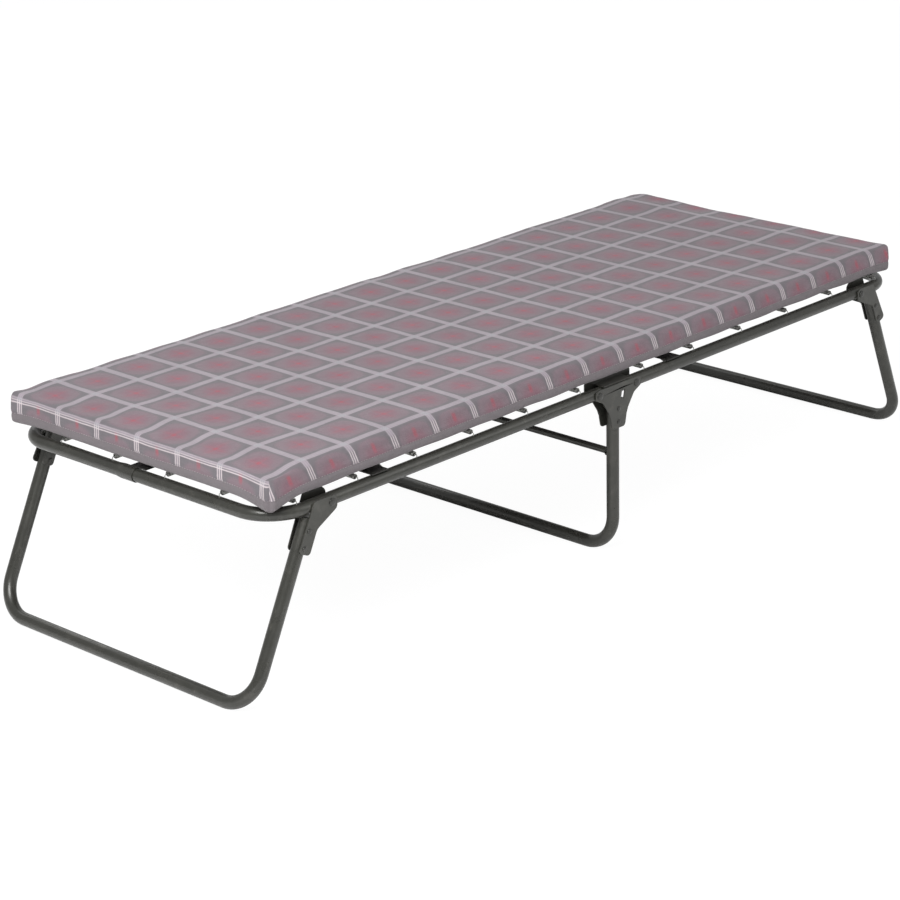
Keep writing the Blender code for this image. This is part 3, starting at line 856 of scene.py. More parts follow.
@dataclass
class TubeStock:
    """Round steel tube that is swept along a path, open at both ends with a wall to look into."""

    radius: float = 0.012
    wall: float = 0.0012
    sides: int = 32
    lip: float = 0.0004
    bore_depth: float = 0.030

    def rings(self, points: Sequence[Vector], swell: Sequence[float]) -> list[tuple[Vector, Vector, float]]:
        """Centre, direction and radius of every ring, out of one bore, along the tube and into the other.

        Args:
            points: the tube's centreline.
            swell: the radius at each point, as a share of the stock's.

        Returns:
            The rings in order.
        """
        runs = [(b - a).normalized() for a, b in zip(points, points[1:])]
        ways = [runs[0]] + [(a + b).normalized() for a, b in zip(runs, runs[1:])] + [runs[-1]]
        outer = [(p, w, self.radius * s) for p, w, s in zip(points, ways, swell)]
        start, end = outer[0], outer[-1]
        return [*self.mouth(start, 1.0), *outer[1:-1], *self.mouth(end, -1.0)[::-1]]

    def mouth(self, end: tuple[Vector, Vector, float], inward: float) -> list[tuple[Vector, Vector, float]]:
        """The rings of an open end, from the bottom of the bore out over the rounded lip.

        Args:
            end: the end's centre, direction and outer radius.
            inward: 1 where the tube runs along the direction from here, or -1.

        Returns:
            The rings.
        """
        centre, way, radius = end
        bore = radius - self.wall
        into = way * inward
        return [
            (centre + into * self.bore_depth, way, bore),
            (centre + into * self.lip, way, bore),
            (centre, way, bore + self.lip),
            (centre, way, radius - self.lip),
            (centre + into * self.lip, way, radius),
        ]

    def sweep(
        self, name: str, points: Sequence[Vector], finish: Material, swell: Sequence[float] | None = None
    ) -> Object:
        """Build the tube.

        Args:
            name: the object's name.
            points: its centreline.
            finish: its material.
            swell: the radius at each point, as a share of the stock's.

        Returns:
            The tube.
        """
        rings = self.rings(points, swell or [1.0] * len(points))
        way = rings[0][1]
        side = way.orthogonal().normalized()
        work = bmesh.new()
        loops = []
        for centre, direction, radius in rings:
            side = way.rotation_difference(direction) @ side
            side = (side - direction * side.dot(direction)).normalized()
            way = direction
            turns = [2 * math.pi * i / self.sides for i in range(self.sides)]
            spokes = [Matrix.Rotation(turn, 3, direction) @ side for turn in turns]
            loops.append([work.verts.new(centre + s * radius) for s in spokes])
        for low, high in zip(loops, loops[1:]):
            for i in range(self.sides):
                j = (i + 1) % self.sides
                work.faces.new((low[i], low[j], high[j], high[i]))
        work.faces.new(loops[0][::-1])
        work.faces.new(loops[-1])
        return finished(name, work, finish, math.radians(35))


def finished(name: str, work: BMesh, finish: Material, sharp: float) -> Object:
    """Close a bmesh into a smooth-shaded object.

    Args:
        name: the object's name.
        work: the bmesh, which is freed.
        finish: its material.
        sharp: edges that turn by more than this stay sharp.

    Returns:
        The object.
    """
    bmesh.ops.recalc_face_normals(work, faces=work.faces)
    mesh = bpy.data.meshes.new(name)
    work.to_mesh(mesh)
    work.free()
    mesh.materials.append(finish)
    mesh.shade_smooth()
    mesh.set_sharp_from_angle(angle=sharp)
    item = bpy.data.objects.new(name, mesh)
    bpy.context.scene.collection.objects.link(item)
    return item


def pressed_copy(node: str, name: str, finish: Material, edge: float, segments: int = 3) -> Object:
    """A pressed sheet piece from a CAD node: its faces merged and its edges rolled over.

    Args:
        node: the CAD node.
        name: the new piece's name.
        finish: its material.
        edge: the radius of its rolled edges.
        segments: the steps round an edge.

    Returns:
        The piece.
    """
    work = bmesh.new()
    work.from_mesh(bpy.data.objects[node].data)
    bmesh.ops.remove_doubles(work, verts=work.verts, dist=0.00001)
    bmesh.ops.dissolve_limit(work, angle_limit=math.radians(1), verts=work.verts, edges=work.edges)
    rims = [e for e in work.edges if e.is_manifold and e.calc_face_angle() > math.radians(35)]
    form = {"offset": edge, "segments": segments, "profile": 0.5}
    bmesh.ops.bevel(work, geom=rims, affect="EDGES", clamp_overlap=True, **form)
    item = finished(name, work, finish, math.radians(50))
    item.modifiers.new("even_shading", "WEIGHTED_NORMAL").keep_sharp = True
    return baked(item)


@dataclass(frozen=True)
class PinShape:
    """A headed pin: a domed head with a flat rim on each end of its shank."""

    shank: float
    grip: float
    head_spread: float = 1.8
    head_rise: float = 0.7
    facets: int = 20
    rim_share: float = 0.22
    dome_steps: int = 7

    def profile(self) -> Object:
        """The pin's outline from axis to axis, as a hidden object that the recipe turns.

        Returns:
            The outline object.
        """
        head = self.head_spread * self.shank
        rise = self.head_rise * self.shank
        top = self.grip / 2
        rim = self.rim_share
        turns = np.linspace(0.0, math.pi / 2, self.dome_steps)
        dome = [(head * math.sin(a), top + rise * (rim + (1 - rim) * math.cos(a))) for a in turns]
        half = [*dome, (head, top), (self.shank, top)]
        whole = half + [(x, -y) for x, y in reversed(half)]
        line = [Vector((x, y, 0.0)) for x, y in whole]
        return bpy.data.objects.new("pin_profile", line_mesh("pin_profile", [line]))


@dataclass
class Hardware:
    """What every sub-assembly shares: finishes, recipes and tube stock."""

    finishes: Finishes
    recipes: Recipes
    tube: TubeStock = field(default_factory=TubeStock)
    plate_edge: float = 0.0006

    def place(self, item: Object, body: str, slot: Slot, *nodes: str) -> Object:
        """Make a piece ride on its body and stand for its CAD nodes.

        Args:
            item: the piece.
            body: the CAD body that it rides on.
            slot: its material slot; not used.
            nodes: the CAD nodes that it replaces.

        Returns:
            The piece.
        """
        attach(item, body)
        if nodes:
            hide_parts(*nodes)
        LOG.info("%s rides on %s with %d faces", item.name, body, len(item.data.polygons))
        return item

    def pins(self, name: str, shape: PinShape, body: str, nodes: Sequence[str]) -> Object:
        """Turn the pins that stand for several CAD pins on one body.

        Args:
            name: the piece's name.
            shape: the pins' shape.
            body: the CAD body that they ride on.
            nodes: the CAD pins.

        Returns:
            The pins as one piece.
        """
        base = line_mesh(name, [[middle_of(node)] for node in nodes])
        profile = shape.profile()
        bpy.context.scene.collection.objects.link(profile)
        turned = self.recipes.turned
        item = turned.run(name, base, Profile=profile, Facets=shape.facets, Finish=self.finishes.fastener)
        bpy.data.objects.remove(profile, do_unlink=True)
        return self.place(item, body, Slot.FASTENER, *nodes)


    def plates(self, prefix: str, body: str) -> None:
        """Copy the outer and inner plates of both sides as pressed pieces.

        Args:
            prefix: how the CAD plates' names start.
            body: the CAD body that they ride on.
        """
        for side in Side:
            for layer in ("outer", "inner"):
                node = f"{prefix}_plate_{side.word}_{layer}"
                plate = pressed_copy(node, node + "_pressed", self.finishes.plate, self.plate_edge)
                self.place(plate, body, Slot.PLATE, node)


def middle_of(node: str) -> Vector:
    """The middle of a CAD node's box."""
    low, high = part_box(node)
    return (low + high) / 2


# ---------------------------------------------------------------------------
# Centre stand
# ---------------------------------------------------------------------------
@dataclass
class CentreStand:
    """The U-shaped middle leg, its crossbar and the four hinge plates riveted round its tops."""

    shop: Hardware
    body: str = "centre_stand"
    corner: float = 0.065
    weld_reach: float = 0.0045
    weld_rise: float = 0.0030
    weld_steps: int = 4
    rivet: PinShape = PinShape(0.0025, 0.0306)

    def build(self) -> None:
        """Build every piece of the stand."""
        self.leg()
        self.crossbar()
        self.shop.plates("centre", self.body)
        rivets = [f"centre_rivet_{side.word}_{level}" for side in Side for level in ("upper", "lower")]
        self.shop.pins("centre_rivet_heads", self.rivet, self.body, rivets)

    def leg(self) -> None:
        """The leg's one bent tube."""
        low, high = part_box("centre_leg")
        half = (high.x - low.x) / 2
        out = high.y - half
        plan = ((-out, high.z), (-out, half), (out, half), (out, high.z))
        corners = [Vector((0.0, y, z)) for y, z in plan]
        path = rounded_path(corners, self.corner)
        tube = self.shop.tube.sweep("centre_leg_tube", path, self.shop.finishes.tube)
        self.shop.place(tube, self.body, Slot.TUBE, "centre_leg")

    def crossbar(self) -> None:
        """The rod between the leg's sides, flared where it is welded to them."""
        low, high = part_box("centre_crossbar")
        middle = (low + high) / 2
        radius = (high.z - low.z) / 2
        shares = [i / self.weld_steps for i in range(self.weld_steps + 1)]
        flare = [1.0 + self.weld_rise / radius * (1 - share) ** 2 for share in shares]
        steps = [self.weld_reach * share for share in shares]
        places = [low.y + s for s in steps] + [high.y - s for s in reversed(steps)]
        points = [Vector((middle.x, y, middle.z)) for y in places]
        rod = TubeStock(radius, radius * 0.4, 24, 0.0003, 0.004)
        bar = rod.sweep("centre_crossbar_rod", points, self.shop.finishes.tube, flare + flare[::-1])
        self.shop.place(bar, self.body, Slot.TUBE, "centre_crossbar")


# ---------------------------------------------------------------------------
# Half bed
# ---------------------------------------------------------------------------
@dataclass
class HalfBed:
    """One half of the frame: two bent rails sleeved together, the sprung wire deck and its brace strap."""

    shop: Hardware
    end: End
    corner: float = 0.075
    socket_depth: float = 0.035
    socket_taper: float = 0.014
    socket_swell: float = 1.125
    fold_pin: PinShape = PinShape(0.004, 0.0306, 1.75, 0.62, 24)
    end_pin: PinShape = PinShape(0.003, 0.0244, 1.25, 0.30, 16)
    strap_edge: float = 0.0004

    def __post_init__(self) -> None:
        """Read the frame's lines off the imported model."""
        plain = Side.NEAR if self.end is End.HEAD else Side.FAR
        low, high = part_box(f"{self.end.word}_rail_{plain.word}")
        self.flat = (high.z - low.z) / 2
        self.height = (high.z + low.z) / 2
        self.rail_y = max(-low.y, high.y) - self.flat
        self.end_x = max(-low.x, high.x) - self.flat
        self.inner_x = min(abs(low.x), abs(high.x))
        self.body = f"{self.end.word}_half"
        self.socketed = Side.FAR if self.end is End.HEAD else Side.NEAR

    def build(self) -> None:
        """Build every piece of the half but its mattress."""
        for side in Side:
            self.rail(side)
        names = [f"{self.end.word}_fold_pin_{side.word}" for side in Side]
        self.shop.pins(f"{self.end.word}_fold_pin_heads", self.fold_pin, self.body, names)
        names = [f"{self.end.word}_rail_end_pin_{side.word}" for side in Side]
        self.shop.pins(f"{self.end.word}_rail_end_pins", self.end_pin, self.body, names)
        Deck(self.shop, self).build()
        node = f"{self.end.word}_brace_strap"
        strap = pressed_copy(node, node + "_rolled", self.shop.finishes.strap, self.strap_edge, 2)
        self.shop.place(strap, self.body, Slot.TUBE, node)

    def rail(self, side: Side) -> None:
        """A side rail bent into its share of the end tube.

        Args:
            side: which long side it runs along.
        """
        toward, across = self.end.value, side.value
        node = f"{self.end.word}_rail_{side.word}"
        low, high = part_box(node)
        stop = low.y if across > 0 else high.y
        corners = [
            Vector((toward * self.inner_x, across * self.rail_y, self.height)),
            Vector((toward * self.end_x, across * self.rail_y, self.height)),
            Vector((toward * self.end_x, stop, self.height)),
        ]
        points = rounded_path(corners, self.corner)
        swell = [1.0] * len(points)
        if side is self.socketed:
            mouth = points.pop()
            swell.pop()
            back = Vector((0.0, across, 0.0))
            for share in (1.0, 0.5, 0.0):
                points.append(mouth + back * (self.socket_depth + self.socket_taper * share))
                swell.append(1.0 + (self.socket_swell - 1.0) * (1.0 - share))
            points.append(mouth)
            swell.append(self.socket_swell)
        tube = self.shop.tube.sweep(f"{node}_tube", points, self.shop.finishes.tube, swell)
        self.shop.place(tube, self.body, Slot.TUBE, node)


@dataclass
class Deck:
    """The wire deck of a half: a welded lattice hung from the frame by coil springs."""

    shop: Hardware
    half: HalfBed
    span: float = 0.050
    side_springs: int = 6
    first_spring: float = 0.091
    last_inset: float = 0.058
    end_springs: int = 4
    end_pitch: float = 0.136
    inner: float = 0.010
    wire: float = 0.0011
    border_wire: float = 0.0016
    border_corner: float = 0.012
    spring_wire: float = 0.00090
    coil_radius: float = 0.0040
    coil_start: float = 0.004
    coil_length: float = 0.034
    coil_turns: int = 15
    turn_steps: int = 12
    axis_rise: float = 0.0175
    hook_room: float = 0.0070
    hook_offset: float = 0.0008
    border_rise: float = 0.0190
    finer: int = 3
    weld_share: float = 0.9

    def build(self) -> None:
        """Build the springs, the lattice and the border wire."""
        word = self.half.end.word
        self.springs()
        xs, ys = self.lattice_lines()
        self.wires(f"{word}_deck_lattice", self.lattice(xs, ys), self.wire, False)
        plan = ((xs[0], ys[0]), (xs[-1], ys[0]), (xs[-1], ys[-1]), (xs[0], ys[-1]))
        corners = [Vector((x, y, self.level())) for x, y in plan]
        start = (corners[0] + corners[3]) / 2
        border = rounded_path([start, *corners, start], self.border_corner, math.radians(15))[:-1]
        self.wires(f"{word}_deck_border", [border], self.border_wire, True)

    def columns(self) -> list[float]:
        """How far each side spring lies from the middle of the bed, from the first to the last."""
        first, last = self.first_spring, self.half.end_x - self.last_inset
        gaps = self.side_springs - 1
        return [first + (last - first) * i / gaps for i in range(gaps + 1)]

    def rows(self) -> list[float]:
        """The Y of each end spring."""
        return [(i - (self.end_springs - 1) / 2) * self.end_pitch for i in range(self.end_springs)]

    def level(self) -> float:
        """The height of the border wire's middle."""
        return self.half.height + self.border_rise

    def wires(self, name: str, lines: list[list[Vector]], radius: float, closed: bool) -> None:
        """Draw wires along lines and hang them on the half.

        Args:
            name: the piece's name.
            lines: the wires' centrelines.
            radius: the wire's radius.
            closed: whether each wire is a loop.
        """
        base = line_mesh(name, lines, closed)
        wire = self.shop.recipes.wire
        item = wire.run(name, base, Radius=radius, Facets=8, Finish=self.shop.finishes.wire)
        self.shop.place(item, self.half.body, Slot.WIRE, f"{self.half.end.word}_deck")

    def lattice_lines(self) -> tuple[list[float], list[float]]:
        """The places of the lattice's cross and long wires.

        Returns:
            The X of each cross wire and the Y of each long one, border wires at both ends.
        """
        toward = self.half.end.value
        xs = [self.inner, *self.columns()[:-1], self.half.end_x - self.span]
        edge = self.half.rail_y - self.span
        ys = [-edge, *self.rows(), edge]
        return [toward * x for x in self.between(xs)], self.between(ys)

    def between(self, places: list[float]) -> list[float]:
        """Finer wires between the wires that carry springs.

        Args:
            places: the main wires' places, in order.

        Returns:
            All of the wires' places.
        """
        pairs = zip(places, places[1:])
        fine = [a + (b - a) * i / self.finer for a, b in pairs for i in range(self.finer)]
        return [*fine, places[-1]]

    def lattice(self, xs: list[float], ys: list[float]) -> list[list[Vector]]:
        """The lattice's wires, cross wires under long ones, their ends hooked over the border.

        Args:
            xs: the cross wires' places.
            ys: the long wires' places.

        Returns:
            The wires' centrelines.
        """
        lines = []
        hook = self.border_wire + self.wire
        weld = self.weld_share * self.wire
        low, high = self.level() - weld, self.level() + weld
        for x in xs[1:-1]:
            lines.append(self.hooked(Vector((x, ys[0], low)), Vector((x, ys[-1], low)), hook))
        for y in ys[1:-1]:
            lines.append(self.hooked(Vector((xs[0], y, high)), Vector((xs[-1], y, high)), hook))
        return lines

    def hooked(self, start: Vector, end: Vector, hook: float) -> list[Vector]:
        """A straight wire whose ends loop round the border wire.

        Args:
            start: the border wire's middle at one end.
            end: and at the other.
            hook: the loop's radius.

        Returns:
            The wire's centreline.
        """
        way = (end - start).normalized()
        up = Vector((0.0, 0.0, 1.0))
        side = 1.0 if start.z > self.level() else -1.0
        centre = Vector((start.x, start.y, self.level()))
        turns = [math.radians(a) for a in range(-60, 200, 26)]
        loop = [way * -math.sin(a) * hook + up * side * math.cos(a) * hook for a in turns]
        first = [centre + v for v in reversed(loop)]
        far = Vector((end.x, end.y, self.level()))
        last = [far + Vector((v.x * (1 - 2 * abs(way.x)), v.y * (1 - 2 * abs(way.y)), v.z)) for v in loop]
        return [*first, start + way * 3 * hook, end - way * 3 * hook, *last]

    def spring_path(self) -> list[Vector]:
        """One spring's wire: out of the rail, round its coil and hooked over the border wire.

        Returns:
            The centreline, running along +X from the rail's middle, heights from the rail's.
        """
        rise = self.axis_rise
        path = [(0.0, 0.0, 0.0100), (0.0, 0.0, 0.0140), (0.0006, 0.0, 0.0168)]
        path += [(0.0020, 0.0, rise), (0.0035, 0.0, rise)]
        total = self.coil_turns * self.turn_steps
        for i in range(total + 1):
            angle = 2 * math.pi * i / self.turn_steps
            ease = min(1.0, i / self.turn_steps, (total - i) / self.turn_steps)
            radius = self.coil_radius * (ease * ease * (3 - 2 * ease))
            x = self.coil_start + self.coil_length * i / total
            path.append((x, radius * math.sin(angle), rise + radius * math.cos(angle)))
        loop = self.border_wire + self.spring_wire
        path.append((self.span - self.hook_room, 0.0, rise))
        for angle in map(math.radians, range(-150, 130, 25)):
            x, z = loop * math.cos(angle), loop * math.sin(angle)
            path.append((self.span + x, self.hook_offset, self.border_rise + z))
        return [Vector(p) for p in path]

    def springs(self) -> None:
        """Set the springs between the rails, the end tube and the border wire."""
        half, toward = self.half, self.half.end.value
        feet: list[tuple[Vector, float]] = []
        for side in Side:
            for column in self.columns():
                foot = Vector((toward * column, side.value * half.rail_y, half.height))
                feet.append((foot, -side.value * math.pi / 2))
        for y in self.rows():
            feet.append((Vector((toward * half.end_x, y, half.height)), 0.0 if toward < 0 else math.pi))
        name = f"{half.end.word}_deck_springs"
        base = line_mesh(name, [[foot] for foot, _ in feet])
        base.attributes.new("turn", "FLOAT", "POINT").data.foreach_set("value", [turn for _, turn in feet])
        path = bpy.data.objects.new("spring_path", line_mesh("spring_path", [self.spring_path()]))
        bpy.context.scene.collection.objects.link(path)
        finish = self.shop.finishes.wire
        springs = self.shop.recipes.springs
        item = springs.run(name, base, Path=path, Radius=self.spring_wire, Facets=6, Finish=finish)
        bpy.data.objects.remove(path, do_unlink=True)
        self.shop.place(item, half.body, Slot.WIRE, f"{half.end.word}_deck")


# ---------------------------------------------------------------------------
# Folding end leg
# ---------------------------------------------------------------------------
@dataclass
class EndLeg:
    """A splayed U-shaped end leg with the gusset plates that hinge it to the rails."""

    shop: Hardware
    end: End
    corner: float = 0.065
    pivot: PinShape = PinShape(0.004, 0.0306, 1.75, 0.62, 24)
    rivet: PinShape = PinShape(0.0025, 0.0306)

    def build(self) -> None:
        """Build every piece of the leg."""
        word, body = self.end.word, f"{self.end.word}_leg"
        upper = middle_of(f"{word}_leg_rivet_near_upper")
        lower = middle_of(f"{word}_leg_rivet_near_lower")
        way = (lower - upper).normalized()
        low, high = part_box(f"{word}_leg_tube")
        flat = abs(high.y) - abs(upper.y)
        top = upper + way * ((high.z - abs(way.x) * self.shop.tube.radius - upper.z) / way.z)
        foot = upper + way * ((low.z + flat - upper.z) / way.z)
        flip = Matrix.Diagonal((1.0, -1.0, 1.0))
        points = rounded_path([top, foot, flip @ foot, flip @ top], self.corner)
        tube = self.shop.tube.sweep(f"{word}_leg_bent_tube", points, self.shop.finishes.tube)
        self.shop.place(tube, body, Slot.TUBE, f"{word}_leg_tube")
        self.shop.plates(f"{word}_leg", body)
        pins = [f"{word}_leg_pin_{side.word}" for side in Side]
        self.shop.pins(f"{word}_leg_pivot_heads", self.pivot, body, pins)
        rivets = [f"{word}_leg_rivet_{side.word}_{level}" for side in Side for level in ("upper", "lower")]
        self.shop.pins(f"{word}_leg_rivet_heads", self.rivet, body, rivets)


# ---------------------------------------------------------------------------
# Mattress
# ---------------------------------------------------------------------------
@dataclass(frozen=True)
class Hump:
    """A smooth rise, or a dip where its height is below 0, that fades on both sides of a value."""

    height: float
    centre: float
    width: float

    def at(self, value: np.ndarray) -> np.ndarray:
        """Its height at each value."""
        return self.height * np.exp(-(((value - self.centre) / self.width) ** 2))


@dataclass
class Mattress:
    """The foam pad in its plaid cover: swollen as cloth, seamed round its sides, cut at the fold."""

    shop: Hardware
    top_radius: float = 0.010
    foot_radius: float = 0.008
    plan_radius: float = 0.010
    worn_radius: float = 0.031
    side_skew: float = 0.38
    seam_drop: float = 0.034
    edge_steps: tuple[float, ...] = (0.0, 0.004, 0.008, 0.012, 0.016, 0.020, 0.025, 0.031, 0.038)
    drops: tuple[float, ...] = (
        *(0.0, 0.005, 0.010, 0.015, 0.020, 0.0255),
        *(0.030, 0.034, 0.038, 0.0425, 0.047, 0.0515),
    )
    cell: float = 0.0092
    shrink: float = 0.0015
    swell_limit: float = 0.0045
    pressure: float = 4.0
    frames: int = 20
    seam_dip: Hump = Hump(-0.0009, 0.0, 0.0024)
    seam_lips: Hump = Hump(0.0004, 0.0065, 0.0040)
    seam_pucker: Hump = Hump(0.0007, 0.0, 0.011)
    corner_gully: Hump = Hump(-0.0030, 0.0, 0.0040)
    corner_welt: Hump = Hump(0.0020, 0.012, 0.0055)
    corner_reach: float = 0.06
    top_rim: Hump = Hump(1.0, 0.0, 0.085)
    end_rim: Hump = Hump(0.8, 0.0, 0.17)
    end_valley: Hump = Hump(-0.0028, 0.036, 0.022)
    end_crest: Hump = Hump(0.0014, 0.088, 0.030)
    foot_share: float = 0.45
    under_edge: Hump = Hump(1.0, 0.0, 0.030)
    under_depth: float = 0.022
    spring_place: float = 0.091
    spring_pitch: float = 0.1432
    sagging: tuple[tuple[int, int, float], ...] = (
        *((-1, -1, 0.0125), (1, -1, 0.003)),
        *((-1, 1, 0.005), (1, 1, 0.003)),
    )
    sag_reach: Hump = Hump(1.0, 0.0, 0.050)
    stitch_pitch: float = 0.0062
    stitch_length: float = 0.0040
    thread_radius: float = 0.00042
    blend_reach: float = 0.25

    def __post_init__(self) -> None:
        """Read the pad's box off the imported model."""
        boxes = [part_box(node) for node in ("head_mattress", "middle_mattress", "foot_mattress")]
        self.low = Vector(min(b[0][i] for b in boxes) for i in range(3))
        self.high = Vector(max(b[1][i] for b in boxes) for i in range(3))
        self.half_x = self.high.x - self.shrink
        self.half_y = self.high.y - self.shrink
        self.top = self.high.z - self.shrink
        self.depth = self.top - self.low.z

    def levels(self, half: float) -> list[float]:
        """Grid lines from one edge to the other: close near the edges, even between.

        Args:
            half: the distance from the middle to an edge.

        Returns:
            The lines' places.
        """
        inner = half - self.edge_steps[-1]
        count = 2 * round(inner / self.cell)
        even = [-inner + 2 * inner * i / count for i in range(count + 1)]
        edge = [half - step for step in self.edge_steps[:-1]]
        return [-e for e in edge] + even + edge[::-1]

    def rounded(self, x: float, y: float, drop: float) -> Vector:
        """A point of the plain box moved onto the pad's rounded form.

        Args:
            x: its X on the box.
            y: its Y on the box.
            drop: how far it lies below the top.

        Returns:
            Its place on the pad.
        """
        reach = self.worn_radius if x > 0 and y > 0 else self.plan_radius
        core = Vector((self.clamped(x, self.half_x - reach), self.clamped(y, self.half_y - reach)))
        spread = Vector((x, y)) - core
        longest = max(abs(spread.x), abs(spread.y))
        way = spread.normalized() if longest > 0 else Vector((0.0, 0.0))
        margin = reach - longest
        place = core + way * longest
        upper = drop < self.depth / 2
        radius = self.top_radius if upper else self.foot_radius
        fall = drop if upper else self.depth - drop
        if margin >= radius or fall >= radius:
            return Vector((place.x, place.y, self.top - drop))
        past = 1 - margin / radius if fall == 0 else 1 + fall / radius
        turn = math.pi / 4 * past
        inset, rise = radius * (1 - math.sin(turn)), radius * (1 - math.cos(turn))
        place = core + way * (reach - inset)
        return Vector((place.x, place.y, self.top - rise if upper else self.low.z + rise))

    @staticmethod
    def clamped(value: float, limit: float) -> float:
        """A value held between minus a limit and the limit."""
        return max(-limit, min(limit, value))

    def blank(self) -> Object:
        """The pad before it swells, as one closed grid with its cloth laid out in two UV maps.

        Returns:
            The pad.
        """
        xs, ys = self.levels(self.half_x), self.levels(self.half_y)
        zs = [*self.drops, self.depth]
        work = bmesh.new()
        cloth = work.loops.layers.uv.new("cloth")
        panel = work.loops.layers.uv.new("panel")
        known: dict[tuple[int, int, int], bmesh.types.BMVert] = {}

        def corner(i: int, j: int, k: int) -> bmesh.types.BMVert:
            """The vertex of one grid point."""
            if (i, j, k) not in known:
                known[i, j, k] = work.verts.new(self.rounded(xs[i], ys[j], zs[k]))
            return known[i, j, k]

        def patch(keys: list[tuple[int, int, int]], lean: tuple[float, float] = (0.0, 0.0)) -> None:
            """Lay one cell of the grid on the cloth.

            Args:
                keys: the grid points of its corners.
                lean: how far the cloth's two coordinates move for each metre of drop.
            """
            face = work.faces.new([corner(*key) for key in keys])
            flat = keys[0][2] == keys[2][2]
            for loop, (i, j, k) in zip(face.loops, keys):
                loop[cloth].uv = (xs[i] + lean[0] * zs[k], ys[j] + lean[1] * zs[k])
                edge = min(self.half_x - abs(xs[i]), self.half_y - abs(ys[j]))
                drop = zs[k] if not flat else (-edge if k == 0 else self.depth + edge)
                loop[panel].uv = (xs[i], drop)

        last = (len(xs) - 1, len(ys) - 1, len(zs) - 1)
        for i in range(last[0]):
            for j in range(last[1]):
                for k in (0, last[2]):
                    patch([(i, j, k), (i + 1, j, k), (i + 1, j + 1, k), (i, j + 1, k)])
        for k in range(last[2]):
            for i in range(last[0]):
                for j, sign in ((0, -1), (last[1], 1)):
                    lean = (-self.side_skew, sign)
                    patch([(i, j, k), (i, j, k + 1), (i + 1, j, k + 1), (i + 1, j, k)], lean)
            for j in range(last[1]):
                for i, sign in ((0, -1), (last[0], 1)):
                    patch([(i, j, k), (i, j, k + 1), (i, j + 1, k + 1), (i, j + 1, k)], (sign, 0.0))
        return finished("mattress_blank", work, self.shop.finishes.cloth, math.pi)

    def swell(self, pad: Object) -> None:
        """Blow the pad up a little as cloth, with its resting underside held.

        Args:
            pad: the pad, whose mesh is changed.
        """
        rest = positions(pad.data)
        inner = (np.abs(rest[:, 0]) < self.half_x - 0.05) & (np.abs(rest[:, 1]) < self.half_y - 0.05)
        held = inner & (rest[:, 2] < self.low.z + 0.001)
        group = pad.vertex_groups.new(name="rests_on_deck")
        group.add([int(i) for i in np.flatnonzero(held)], 1.0, "REPLACE")
        modifier = pad.modifiers.new("swell", "CLOTH")
        cloth = modifier.settings
        cloth.vertex_group_mass = group.name
        cloth.quality = 3
        cloth.use_pressure = True
        cloth.uniform_pressure_force = self.pressure
        cloth.tension_stiffness = cloth.compression_stiffness = 12.0
        cloth.bending_stiffness = 0.6
        cloth.effector_weights.gravity = 0.0
        modifier.collision_settings.use_collision = False
        modifier.point_cache.frame_start, modifier.point_cache.frame_end = 1, self.frames
        scene = bpy.context.scene
        for frame in range(1, self.frames + 1):
            scene.frame_set(frame)
        graph = bpy.context.evaluated_depsgraph_get()
        moved = positions(pad.evaluated_get(graph).to_mesh()) - rest
        pad.evaluated_get(graph).to_mesh_clear()
        pad.modifiers.clear()
        pad.vertex_groups.clear()
        scene.frame_set(1)
        length = np.linalg.norm(moved, axis=1)
        LOG.info("cloth moved %.1f mm at most", 1000 * length.max())
        share = self.swell_limit * np.tanh(length / self.swell_limit) / np.maximum(length, 1e-9)
        pad.data.vertices.foreach_set("co", (rest + moved * share[:, None]).ravel())

    def settle(self, pad: Object) -> None:
        """Sew and slump the pad: seam, corner seams, puckers, edge waves, sagging corners.

        Args:
            pad: the pad after its subdivision, whose mesh is changed.
        """
        mesh = pad.data
        place = positions(mesh)
        normal = np.zeros(len(mesh.vertices) * 3)
        mesh.vertex_normals.foreach_get("vector", normal)
        normal = normal.reshape(-1, 3)
        drop = self.drop_of(mesh)
        gaps = [half - np.abs(place[:, axis]) for axis, half in enumerate((self.half_x, self.half_y))]
        on_side = smooth((drop + 0.004) / 0.006) * smooth((self.depth - drop) / 0.006)
        push = on_side * self.sewn(place, drop, *gaps)
        lift = self.slumped(place, drop, *gaps)
        lift += on_side * 0.0016 * noise_at(place, 9.0, 6.0) * smooth(drop / 0.02)
        lift += self.rested(place, drop, np.minimum(*gaps)) - self.sagged(place, drop)
        place = place + normal * push[:, None]
        place[:, 2] += lift
        mesh.vertices.foreach_set("co", place.ravel())
        mesh.update()

    def sewn(
        self, place: np.ndarray, drop: np.ndarray, to_end: np.ndarray, to_side: np.ndarray
    ) -> np.ndarray:
        """How far the side seam with its puckers and the four corner seams move the cloth outward.

        Args:
            place: the vertices' places.
            drop: how far down from the top edge each lies.
            to_end: how far each lies from the nearer end.
            to_side: how far each lies from the nearer side.

        Returns:
            One distance for each vertex.
        """
        below = drop - self.seam_drop
        pucker = noise_at(place, 48.0, 1.0) * self.seam_pucker.at(below)
        seam = self.seam_dip.at(below) + self.seam_lips.at(np.abs(below)) + pucker
        turn = np.maximum(to_end, to_side)
        near_corner = (turn < self.corner_reach) & (drop > 0.001)
        gully = self.corner_gully.at(turn) * smooth((drop - 0.004) / 0.012)
        welt = self.corner_welt.at(turn) * smooth((drop - 0.006) / 0.014)
        return seam + near_corner * (gully + welt)

